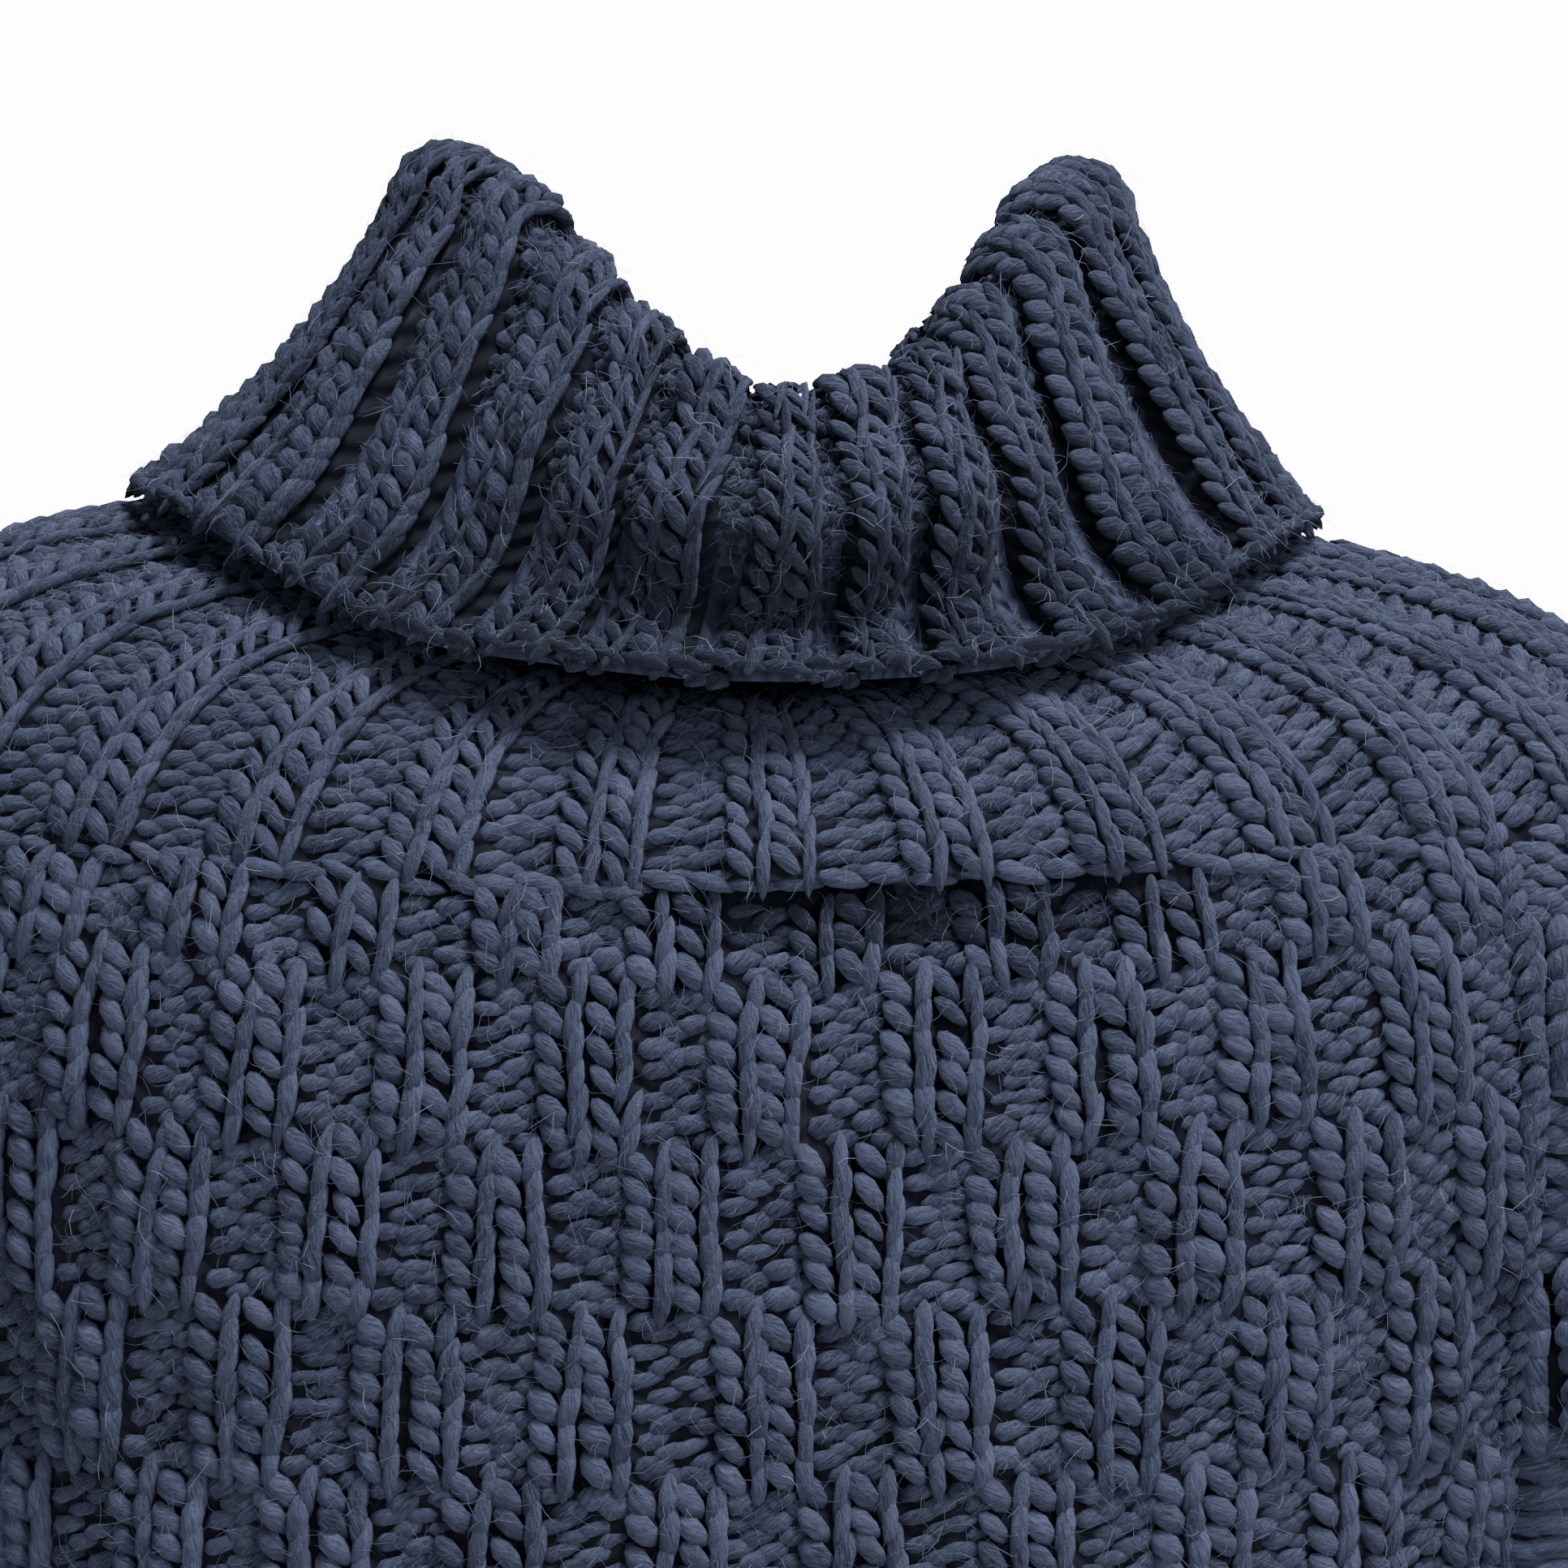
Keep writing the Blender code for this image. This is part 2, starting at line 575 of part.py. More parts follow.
def raised(blocks, down, edge, stops):
    """How high the basketweave stands: level on the piece's edges and beside the underarm."""
    height = basketweave(blocks, down)
    height[np.isclose(down, OVER_ARMPIT)] = 0.5
    height[np.isclose(down, 0) | np.isclose(down, down.max())] = 0
    for line in stops:
        height[np.isclose(blocks, line) & (down < OVER_ARMPIT + TIER)] = 0
    under = np.abs(blocks) > edge - 0.01
    height[under] *= smoothstep((down[under] - OVER_ARMPIT) / UNDERARM_EASE)
    return RELIEF * height


def cell_mask(across, down, edge):
    """Cells of a panel: above the armpit only those between its armhole seams."""
    mid_a = (across[1:] + across[:-1]) / 2
    mid_b = (down[1:] + down[:-1]) / 2
    return ~((np.abs(mid_a)[None, :] > edge) & (mid_b[:, None] < OVER_ARMPIT))


def point_mask(mask, wrap=False):
    rows, cols = mask.shape
    present = np.zeros((rows + 1, cols if wrap else cols + 1), bool)
    for dr in (0, 1):
        for dc in (0, 1):
            part = np.roll(mask, dc, axis=1) if wrap else mask
            target = present[dr:dr + rows, :] if wrap else present[dr:dr + rows, dc:dc + cols]
            target |= part
    return present


def lines_at(values, wanted):
    return [int(np.argmin(np.abs(values - w))) for w in wanted]


def seam_normals(surface_normal, b, u_yoke):
    """The yoke's own normals along a panel's top edge, so that the two edges meet."""
    n = surface_normal.copy()
    top = np.isclose(b, 0)
    n[top] = normals(yoke_surface, u_yoke[top], np.ones(top.sum()), 1e-3, 1e-3, (0, 1))
    return n


def body_grid(back):
    half = BODY_REPEATS // 2
    stops = (-half, -HALF_FRONT, HALF_FRONT, half)
    across = block_lines(range(-half, half), stops)
    down = tier_lines(TIERS_TO_HEM)
    a, b = np.meshgrid(across, down)
    normal = panel_normals(lambda x, y: panel_surface(x, y, back), a, b, back)
    normal = seam_normals(normal, b, yoke_share(a, back))
    return {"a": a, "b": b, "across": across, "down": down, "normal": normal,
            "points": panel_surface(a, b, back), "relief": raised(a, b, HALF_FRONT, stops)}


def sleeve_grid():
    """The right sleeve, with one column for a block on its cap and two below the arm."""
    half_cap = SLEEVE_CAP // 2
    cap = np.arange(-half_cap, half_cap) + 0.5
    under = np.array([half_cap + k + e for k in range(HALF_UNDERARM)
                      for e in (BLOCK_EDGE, 1 - BLOCK_EDGE)])
    across = np.sort(np.concatenate([cap, under, -under, (-half_cap, half_cap)]))
    down = tier_lines(TIERS_TO_CUFF)
    a, b = np.meshgrid(across, down)
    normal = panel_normals(sleeve_surface, a, b, True)
    normal = seam_normals(normal, b, yoke_share_over_arm(a))
    normal[-1] = across_arm(normal[-1])
    return {"a": a, "b": b, "across": across, "down": down, "normal": normal,
            "points": sleeve_surface(a, b), "relief": raised(a, b, half_cap, (-half_cap, half_cap))}


def mirrored_sleeve(right):
    """The left sleeve. The yoke leans a little, so its top edge is taken from the yoke."""
    flip = np.array([-1, 1, 1])
    left = {key: np.array(value, copy=True) for key, value in right.items()}
    left["points"] *= flip
    left["normal"] *= flip
    u_yoke = 1 - yoke_share_over_arm(left["a"])
    top = np.isclose(left["b"], 0)
    left["points"][top] = ring("yoke_edge", u_yoke[top])
    left["normal"] = seam_normals(left["normal"], left["b"], u_yoke)
    return left


def make_body():
    """The front, the back and both sleeves, which share their armhole edges."""
    grids = {"body_front": body_grid(False), "body_back": body_grid(True)}
    grids["sleeve_right"] = sleeve_grid()
    grids["sleeve_left"] = mirrored_sleeve(grids["sleeve_right"])
    share_normals(grids)
    for name, g in grids.items():
        tube = name.startswith("sleeve")
        edge = SLEEVE_CAP // 2 if tube else HALF_FRONT
        mask = cell_mask(g["across"], g["down"], edge)
        if tube:
            closing = (g["down"][1:] + g["down"][:-1]) / 2 >= OVER_ARMPIT
            mask = np.concatenate([mask, closing[:, None]], axis=1)
        inner = g["points"] - g["normal"] * WALL
        outer = g["points"] + g["normal"] * g["relief"][..., None]
        present = point_mask(mask, wrap=tube)
        outer, inner = pull_in(outer, present, tube), pull_in(inner, present, tube)
        under = np.isclose(g["b"], OVER_ARMPIT) & (np.abs(g["a"]) > edge - 0.01)
        apart = unit(g["points"][under] * (1, 1, 0)) * UNDERARM_GAP / 2 * (1 if tube else -1)
        outer[under] += apart
        inner[under] += apart
        if tube:
            plain_cols = lines_at(g["across"], SLEEVE_PLAIN) + [len(g["across"])]
        else:
            plain_cols = lines_at(g["across"], BODY_PLAIN)
        tiers = [k for k in PLAIN_TIERS if k * TIER <= g["down"][-1] - OVER_ARMPIT + SEAM_GAP]
        wanted = [0, OVER_ARMPIT / 2] + [OVER_ARMPIT + k * TIER for k in tiers]
        build_wall(name, outer, inner, mask, tube, plain_cols, lines_at(g["down"], wanted))


def across_arm(n):
    """Normals brought into the plane across the arm, where the sleeve meets its cuff."""
    return unit(n - ALONG_ARM * (n @ ALONG_ARM)[..., None])


def panel_normals(surface, a, b, inward):
    """Normals taken on one side of the armpit's level only, because the surface bends there."""
    high = np.where(b < OVER_ARMPIT, OVER_ARMPIT, b + 1)
    return normals(surface, a, b, 0.05, 0.002, (np.where(b <= OVER_ARMPIT, 0, OVER_ARMPIT), high),
                   inward)


def share_normals(grids):
    """Gives points that two pieces share along a seam the same normal."""
    total = {}
    for g in grids.values():
        keys = np.round(g["points"], 5)
        for r, c in np.ndindex(g["a"].shape):
            k = tuple(keys[r, c])
            total.setdefault(k, []).append(g["normal"][r, c])
    for g in grids.values():
        keys = np.round(g["points"], 5)
        for r, c in np.ndindex(g["a"].shape):
            found = total[tuple(keys[r, c])]
            if len(found) > 1 and g["b"][r, c] > 0:
                g["normal"][r, c] = unit(np.sum(found, axis=0))


def neck_normals(u):
    """Shared by the yoke's top edge and the collar's base: between up and out."""
    a = TURN * u
    out = np.stack([np.sin(a), -np.cos(a), np.ones_like(a) * 0.9], -1)
    return unit(out)


def make_yoke():
    u_lines = rib_lines(RIBS_ROUND)
    v_lines, rows = np.array(YOKE_ROWS, float).T
    u, v = np.meshgrid(u_lines, v_lines)
    n = normals(yoke_surface, u, v, 1e-3, 1e-3, (0, 1))
    n[0] = neck_normals(u_lines)
    points = yoke_surface(u, v)
    rib = np.tile(rib_height(), RIBS_ROUND)[None, :]
    relief = RELIEF * rib * rows[:, None]
    front = smoothstep(1 - np.abs(points[-1, :, 0] - STEP_MIDDLE) / STEP_REACH)
    relief[-1] += YOKE_STEP * front * (points[-1, :, 1] < 0)
    relief[-1] *= np.where(np.abs(points[-1, :, 0]) > ARMHOLE_X, 0.25, 1)
    outer = points + n * relief[..., None]
    inner = points - n * WALL
    present = np.ones(u.shape, bool)
    outer, inner = pull_in(outer, present, True), pull_in(inner, present, True)
    plain = list(range(0, 4 * RIBS_ROUND + 1, 4))
    build_wall("yoke", outer, inner, None, True, plain, [0, 2, 5])


def make_collar():
    u_lines = rib_lines(RIBS_ROUND)
    v_lines, rows = np.array(COLLAR_ROWS, float).T
    u, v = np.meshgrid(u_lines, v_lines)
    n = normals(collar_line, u, v, 1e-3, 1e-3, (0, 3))
    points = collar_line(u, v)
    rib = np.tile(rib_height(), RIBS_ROUND)[None, :]
    relief = FLAP_RIB * rib * rows[:, None]
    relief[-2] += BOUND_EDGE
    seen = points + n * (WALL / 2 + relief)[..., None]
    hidden = points - n * (WALL / 2)
    hidden[0] = ring("neck", u_lines)
    seen[0] = hidden[0] - neck_normals(u_lines) * WALL
    present = np.ones(u.shape, bool)
    seen, hidden = pull_in(seen, present, True), pull_in(hidden, present, True)
    plain = list(range(0, 4 * RIBS_ROUND + 1, 2))
    build_wall("collar", seen, hidden, None, True, plain, [0, 1, 2, 3, 4, 5, 7, 9])


def make_hem():
    u_lines = rib_lines(BODY_REPEATS, 0.25)
    down = np.array([0, 0.006, HEM_HEIGHT])
    u, d = np.meshgrid(u_lines, down)
    n = normals(hem_surface, u, d, 1e-3, 1e-3, (0, HEM_HEIGHT))
    rib = np.tile(rib_height(), BODY_REPEATS)[None, :]
    relief = RELIEF * rib * np.array([0, 1, 0.8])[:, None]
    points = hem_surface(u, d)
    n[0] = normals(lambda x, y: torso_ring(x, CHEST_Z - y), u_lines,
                   np.full(u_lines.shape, CHEST_Z - HEM_TOP_Z), 1e-3, 1e-3, (0, CHEST_Z - HEM_TOP_Z))
    outer, inner = points + n * relief[..., None], points - n * WALL
    present = np.ones(u.shape, bool)
    outer, inner = pull_in(outer, present, True), pull_in(inner, present, True)
    plain = list(range(0, 4 * BODY_REPEATS + 1, 4))
    build_wall("hem_band", outer, inner, None, True, plain, [0, 2])


def make_cuffs():
    turns = rib_lines(CUFF_REPEATS)
    down = np.array([0, 0.006, CUFF_LENGTH - 0.005, CUFF_LENGTH])
    t, d = np.meshgrid(turns, down)
    n = normals(cuff_surface, t, d, 1e-3, 1e-3, (0, CUFF_LENGTH), inward=True)
    n[0] = across_arm(n[0])
    rib = np.tile(rib_height(), CUFF_REPEATS)[None, :]
    relief = RELIEF * rib * np.array([0, 1, 1, 0.6])[:, None]
    points = cuff_surface(t, d)
    outer, inner = points + n * relief[..., None], points - n * WALL
    present = np.ones(t.shape, bool)
    outer, inner = pull_in(outer, present, True), pull_in(inner, present, True)
    plain = list(range(0, 4 * CUFF_REPEATS + 1, 4))
    for name, side in (("cuff_right", 1), ("cuff_left", -1)):
        flip = np.array([side, 1, 1])
        build_wall(name, outer * flip, inner * flip, None, True, plain, [0, 3])


def point_outwards():
    """Turns each wall's faces out."""
    for obj in bpy.data.objects:
        work = bmesh.new()
        work.from_mesh(obj.data)
        bmesh.ops.recalc_face_normals(work, faces=work.faces)
        work.to_mesh(obj.data)
        work.free()


for old in list(bpy.data.objects):
    bpy.data.objects.remove(old, do_unlink=True)
make_collar()
make_yoke()
make_body()
make_hem()
make_cuffs()
point_outwards()
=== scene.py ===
import math

import bpy
import numpy as np
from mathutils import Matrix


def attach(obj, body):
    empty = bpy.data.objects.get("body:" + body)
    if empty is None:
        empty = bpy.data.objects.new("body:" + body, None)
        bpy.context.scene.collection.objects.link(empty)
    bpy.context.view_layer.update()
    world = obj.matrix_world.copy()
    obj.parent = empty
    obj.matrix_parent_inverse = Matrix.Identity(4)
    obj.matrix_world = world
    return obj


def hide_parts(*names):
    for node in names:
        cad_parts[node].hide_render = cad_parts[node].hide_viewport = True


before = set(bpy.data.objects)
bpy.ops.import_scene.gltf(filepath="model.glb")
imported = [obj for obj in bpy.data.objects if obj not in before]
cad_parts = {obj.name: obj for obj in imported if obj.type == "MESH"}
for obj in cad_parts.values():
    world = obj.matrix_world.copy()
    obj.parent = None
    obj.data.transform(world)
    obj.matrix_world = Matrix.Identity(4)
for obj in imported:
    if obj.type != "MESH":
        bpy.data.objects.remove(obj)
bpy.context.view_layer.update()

# --- collar -------------------------------------------------------------------------------
# The roll neck: a ribbed tube that stands up round the neck, turns over in a soft roll and
# falls outside as a wide flap. Chunky wool, two knit and two purl, bound off along its edge.

TURN = 2 * math.pi
WALL = 0.0055               # the plain knit, from its inside to the top of a purl bump
RELIEF = 0.0032             # a knit rib or block stands this far over the purl
ROW = 0.038 / 6             # height of a row of stitches
RIBS_ROUND = 30
RIB_PHASE = 0.32            # a knit rib's middle, in repeats from the front middle

ROLL_RADIUS = 0.0085
RIDGE_HALF_WIDTH, RIDGE_HALF_DEPTH, RIDGE_SHIFT = 0.078, 0.077, 0.009
RIDGE_FORWARD = 0.012       # how far the ridge leans over in front
FLAP_HALF_WIDTH, FLAP_FRONT, FLAP_BACK, FLAP_RIB = 0.1435, 0.116, 0.130, 0.0040
COLLAR = (
    # angle round the neck, height of the ridge, height of the flap's edge
    (-180, 0.040, -0.032),
    (-150, 0.061, -0.013),
    (-120, 0.086, 0.012),
    (-105, 0.094, 0.016),
    (-90, 0.098, 0.013),
    (-60, 0.092, 0.003),
    (-45, 0.083, -0.011),
    (-30, 0.064, -0.025),
    (-15, 0.047, -0.031),
    (0, 0.035, -0.0345),
    (15, 0.0375, -0.034),
    (30, 0.045, -0.0305),
    (45, 0.065, -0.0215),
    (60, 0.085, -0.0065),
    (90, 0.0935, 0.005),
    (105, 0.091, 0.007),
    (120, 0.086, 0.003),
    (145, 0.060, -0.014),
    (160, 0.046, -0.027),
)
RINGS = {
    # half width, front, back, squareness, height in front, at the side, behind, lean
    "neck": (0.085, 0.078, 0.074, 2.0, -0.036, 0.004, -0.004, 0.028),
    "shoulder": (0.215, 0.110, 0.112, 2.4, -0.045, 0.011, -0.014, 0.040),
    "yoke_edge": (0.237, 0.118, 0.125, 2.6, -0.083, -0.062, -0.080, 0.0),
    "chest": (0.200, 0.130, 0.128, 2.3, -0.258, -0.258, -0.258, 0.0),
    "waist": (0.195, 0.124, 0.121, 2.2, -0.400, -0.400, -0.400, 0.0),
    "hem_top": (0.194, 0.122, 0.120, 2.2, -0.562, -0.562, -0.562, 0.0),
    "hem_edge": (0.182, 0.112, 0.110, 2.2, -0.626, -0.626, -0.626, 0.0),
}


def unit(v):
    return v / np.maximum(np.linalg.norm(v, axis=-1, keepdims=True), 1e-12)


def smoothstep(t):
    t = np.clip(t, 0, 1)
    return t * t * (3 - 2 * t)


def outline(half_width, front, back, squareness):
    """A rounded ring from the front middle round by +X, and its share of the length."""
    phi = np.linspace(0, TURN, 1441)
    power = 2 / squareness
    x = half_width * np.sign(np.sin(phi)) * np.abs(np.sin(phi)) ** power
    c = np.sign(np.cos(phi)) * np.abs(np.cos(phi)) ** power
    y = -np.where(c > 0, front, back) * c
    steps = np.hypot(np.diff(x), np.diff(y))
    return x, y, np.concatenate(([0], np.cumsum(steps))) / steps.sum()


OUTLINES = {name: outline(*row[:4]) for name, row in RINGS.items()}


def ring(name, u):
    """Points of a named ring at shares u of its length, 0 in front and 0.25 at +X."""
    z_front, z_side, z_back, lean = RINGS[name][4:]
    x, y, share = OUTLINES[name]
    u = np.mod(u, 1.0)
    px, py, c = np.interp(u, share, x), np.interp(u, share, y), np.cos(TURN * u)
    bow = (z_front + z_back) / 2 - z_side
    pz = z_side + (z_front - z_back) / 2 * c + bow * c * c - lean * px
    return np.stack([px, py, pz], axis=-1)


def cubic(start, leaving, end, arriving, t):
    """Smoothly from start (t 0) to end (t 1), with its direction given at both."""
    return ((2 * t**3 - 3 * t**2 + 1) * start + (t**3 - 2 * t**2 + t) * leaving
            + (3 * t**2 - 2 * t**3) * end + (t**3 - t**2) * arriving)


def smooth_table(rows, at, period=None):
    """The columns of a table after its first, read smoothly along that first column."""
    rows = np.array(rows, float)
    keys, values = rows[:, 0], rows[:, 1:]
    if period:
        keys = np.concatenate([keys[-2:] - period, keys, keys[:2] + period])
        values = np.concatenate([values[-2:], values, values[:2]])
        at = np.mod(at - rows[0, 0], period) + rows[0, 0]
    slope = np.gradient(values, keys, axis=0)
    i = np.clip(np.searchsorted(keys, at, side="right") - 1, 0, len(keys) - 2)
    width = (keys[i + 1] - keys[i])[..., None]
    t = (np.clip(at, keys[0], keys[-1]) - keys[i])[..., None] / width
    return cubic(values[i], slope[i] * width, values[i + 1], slope[i + 1] * width, t)


COLLAR_FOLDS = (
    # angle, share down the flap, width in degrees, reach down, depth
    (2, 0.30, 36, 0.20, 0.0110),
    (4, 0.74, 40, 0.20, -0.0090),
    (-34, 0.45, 9, 0.40, -0.0035),
    (-58, 0.30, 12, 0.40, 0.0030),
    (-14, 0.36, 7, 0.24, -0.0035),
    (20, 0.50, 7, 0.36, -0.0035),
    (47, 0.40, 10, 0.34, -0.0032),
    (68, 0.55, 12, 0.30, 0.0028),
    (-82, 0.60, 10, 0.34, -0.0026),
    (110, 0.50, 16, 0.34, -0.0030),
    (150, 0.45, 18, 0.34, 0.0035),
    (-130, 0.50, 16, 0.34, -0.0030),
    (-165, 0.45, 16, 0.30, 0.0030),
)


def soft_folds(rows, degrees, down):
    """How far out the folds of a table push the cloth at an angle and a place down it."""
    depth = np.zeros(np.broadcast(degrees, down).shape)
    for angle, spot, turn_width, reach, fold_depth in rows:
        off = np.mod(degrees - angle + 180, 360) - 180
        depth += fold_depth * np.exp(-((off / turn_width) ** 2) - ((down - spot) / reach) ** 2)
    return depth


def sag(degrees, down):
    """The uneven folds of the flap, which rolls forward over itself in front."""
    fade = smoothstep(down / 0.15) * smoothstep((1.05 - down) / 0.15)
    return soft_folds(COLLAR_FOLDS, degrees, down) * fade


def collar_line(u, v):
    """The middle of the collar's wall: v 0 to 1 up the stand, to 2 over the roll, to 3 down."""
    degrees = np.mod(360 * u + 180, 360) - 180
    ridge_z, edge_z = np.moveaxis(smooth_table(COLLAR, degrees, 360), -1, 0)
    a = TURN * u
    round_way = np.stack([np.sin(a), -np.cos(a), np.zeros_like(a)], -1)
    base = ring("neck", u) - round_way * WALL / 2
    reach = RIDGE_HALF_DEPTH + RIDGE_FORWARD * smoothstep(np.cos(a))
    top = np.stack([RIDGE_SHIFT + RIDGE_HALF_WIDTH * np.sin(a), -reach * np.cos(a),
                    ridge_z - WALL / 2 - FLAP_RIB - ROLL_RADIUS], -1)
    depth = np.where(np.cos(a) > 0, FLAP_FRONT, FLAP_BACK)
    edge = np.stack([FLAP_HALF_WIDTH * np.sin(a), -depth * np.cos(a), edge_z], -1)
    up = np.array([0, 0, 1.0])
    inner, outer = top - round_way * ROLL_RADIUS, top + round_way * ROLL_RADIUS
    t = np.clip(v, 0, 1)[..., None]
    rise = inner - base
    stand = (1 - t) ** 2 * base + 2 * t * (1 - t) * (inner - up * rise[..., 2:] * 0.5) + t * t * inner
    turn = np.clip(v - 1, 0, 1)[..., None] * math.pi
    roll = top + round_way * (-ROLL_RADIUS * np.cos(turn)) + up * (ROLL_RADIUS * np.sin(turn))
    s = np.clip(v - 2, 0, 1)[..., None]
    fall = edge - outer
    p1 = outer + fall * (0.22, 0.22, 0.42)
    p2 = outer + fall * (0.62, 0.62, 0.80)
    flap = (1 - s) ** 3 * outer + 3 * s * (1 - s) ** 2 * p1 + 3 * s * s * (1 - s) * p2 + s**3 * edge
    flap = flap + round_way * sag(degrees, np.clip(v - 2, 0, 1))[..., None]
    v = v[..., None]
    return np.where(v < 1, stand, np.where(v < 2, roll, flap))


def outward(surface, a, b, step_a, step_b, low, high, side=1):
    """Unit normals of a surface of a (round the piece) and b (down it)."""
    over = surface(a + step_a, b) - surface(a - step_a, b)
    down = surface(a, np.minimum(b + step_b, high)) - surface(a, np.maximum(b - step_b, low))
    return side * unit(np.cross(down, over))


def collar_skin(u, v):
    """The collar's seen side, level with the tops of its purl bumps."""
    return collar_line(u, v) + outward(collar_line, u, v, 1e-3, 1e-3, 0, 3) * WALL / 2


def add_node(tree, kind, inputs=(), **settings):
    """A new node. Each input is given as a value, or as the output that it is linked to."""
    node = tree.nodes.new(kind)
    for key, value in settings.items():
        setattr(node, key, value)
    for key, value in dict(inputs).items():
        if isinstance(value, bpy.types.NodeSocket):
            tree.links.new(value, node.inputs[key])
        else:
            node.inputs[key].default_value = value
    return node


def math_of(tree, operation, *values, **settings):
    return add_node(tree, "ShaderNodeMath", enumerate(values), operation=operation, **settings).outputs[0]


def fibre_group():
    """Streaks of wool that run along a strand with a soft twist, and a broad uneven dye."""
    group = bpy.data.node_groups.new("wool_fibres", "ShaderNodeTree")
    face = group.interface
    for name, kind, value in (("Shade", "NodeSocketFloat", 0.5), ("Streaks", "NodeSocketFloat", 9.0),
                              ("Dark", "NodeSocketColor", (0.02, 0.02, 0.04, 1)),
                              ("Light", "NodeSocketColor", (0.1, 0.1, 0.2, 1))):
        face.new_socket(name, in_out="INPUT", socket_type=kind).default_value = value
    face.new_socket("Colour", in_out="OUTPUT", socket_type="NodeSocketColor")
    face.new_socket("Height", in_out="OUTPUT", socket_type="NodeSocketFloat")
    given = group.nodes.new("NodeGroupInput").outputs
    uv = add_node(group, "ShaderNodeUVMap", uv_map="UVMap")
    parts = add_node(group, "ShaderNodeSeparateXYZ", {0: uv.outputs[0]}).outputs
    twisted = math_of(group, "MULTIPLY_ADD", parts[0], 0.35, parts[1])
    spot = add_node(group, "ShaderNodeCombineXYZ", {
        0: math_of(group, "MULTIPLY", parts[0], 2.4),
        1: math_of(group, "MULTIPLY", twisted, given["Streaks"]),
        2: math_of(group, "MULTIPLY", given["Shade"], 61.0),
    }).outputs[0]
    place = group.nodes.new("ShaderNodeTexCoord").outputs["Object"]
    streak, dye, fuzz = (
        add_node(group, "ShaderNodeTexNoise", inputs).outputs[0] for inputs in (
            {"Vector": spot, "Scale": 1.6, "Detail": 5.0, "Roughness": 0.65},
            {"Vector": place, "Scale": 55.0, "Detail": 2.0},
            {"Vector": place, "Scale": 1400.0, "Detail": 3.0}))
    tone = math_of(group, "MULTIPLY_ADD", given["Shade"], 0.42, -1.22)
    tone = math_of(group, "MULTIPLY_ADD", streak, 2.3, tone)
    tone = math_of(group, "MULTIPLY_ADD", dye, 0.45, tone)
    tone = math_of(group, "MULTIPLY_ADD", fuzz, 0.28, tone, use_clamp=True)
    colour = add_node(group, "ShaderNodeMix", {0: tone, 6: given["Dark"], 7: given["Light"]},
                      data_type="RGBA")
    height = math_of(group, "MULTIPLY_ADD", fuzz, 0.5, streak)
    add_node(group, "NodeGroupOutput", {"Colour": colour.outputs[2], "Height": height})
    return group


WOOL_FIBRES = fibre_group()


def wool_material(name):
    """Dull, dry wool with the faint blue bloom of its loose fibres at a slant."""
    material = bpy.data.materials.new(name)
    material.use_nodes = True
    shader = material.node_tree.nodes["Principled BSDF"].inputs
    for key, value in (("Roughness", 0.86), ("Specular IOR Level", 0.18), ("Sheen Weight", 0.20),
                       ("Sheen Roughness", 0.42), ("Sheen Tint", (0.55, 0.66, 1.0, 1.0))):
        shader[key].default_value = value
    return material, material.node_tree, shader


def yarn_wool():
    """The yarn itself, navy with slate and lighter fibres."""
    material, tree, shader = wool_material("navy_yarn")
    shade = add_node(tree, "ShaderNodeAttribute", attribute_name="shade").outputs["Fac"]
    fibres = add_node(tree, "ShaderNodeGroup", {
        "Shade": shade, "Streaks": 17.0,
        "Dark": (0.014, 0.016, 0.034, 1), "Light": (0.128, 0.145, 0.250, 1),
    }, node_tree=WOOL_FIBRES).outputs
    bump = add_node(tree, "ShaderNodeBump", {"Strength": 1.0, "Distance": 0.0013, "Height": fibres["Height"]})
    tree.links.new(fibres["Colour"], shader["Base Color"])
    tree.links.new(bump.outputs["Normal"], shader["Normal"])
    return material


def ground_wool():
    """The cloth behind the strands: painted dark as shade between them, and on the inside plain knit,
    drawn as rows of small chevrons from the stitch count in its UV map, with painted shade in their valleys."""
    material, tree, shader = wool_material("navy_ground")
    uv = add_node(tree, "ShaderNodeUVMap", uv_map="UVMap")
    parts = add_node(tree, "ShaderNodeSeparateXYZ", {0: uv.outputs[0]}).outputs
    column = math_of(tree, "FRACT", parts[0])
    off_middle = math_of(tree, "ABSOLUTE", math_of(tree, "SUBTRACT", column, 0.5))
    chevron = math_of(tree, "MULTIPLY_ADD", off_middle, 1.1, parts[1])
    rows = math_of(tree, "SINE", math_of(tree, "MULTIPLY", chevron, TURN))
    valley = math_of(tree, "SINE", math_of(tree, "MULTIPLY", off_middle, TURN))
    height = math_of(tree, "MULTIPLY_ADD", valley, 0.45, 0.5)
    height = math_of(tree, "MULTIPLY_ADD", rows, 0.30, height)
    # Painted shade: the chevrons' height also sets the wool's tone, so their valleys are coloured darker.
    fibres = add_node(tree, "ShaderNodeGroup", {
        "Shade": height, "Streaks": 3.0,
        "Dark": (0.018, 0.021, 0.044, 1), "Light": (0.062, 0.071, 0.126, 1),
    }, node_tree=WOOL_FIBRES).outputs
    inside = add_node(tree, "ShaderNodeAttribute", attribute_name="inside").outputs["Fac"]
    # Painted shade: the cloth's outer face, between the strands, is coloured near black.
    outside_painted_shade = add_node(tree, "ShaderNodeMix", {0: inside, 6: (0.008, 0.009, 0.017, 1), 7: fibres["Colour"]},
                       data_type="RGBA")
    bump = add_node(tree, "ShaderNodeBump", {"Strength": 0.9, "Distance": 0.0022, "Height": height})
    tree.links.new(outside_painted_shade.outputs[2], shader["Base Color"])
    tree.links.new(bump.outputs["Normal"], shader["Normal"])
    return material


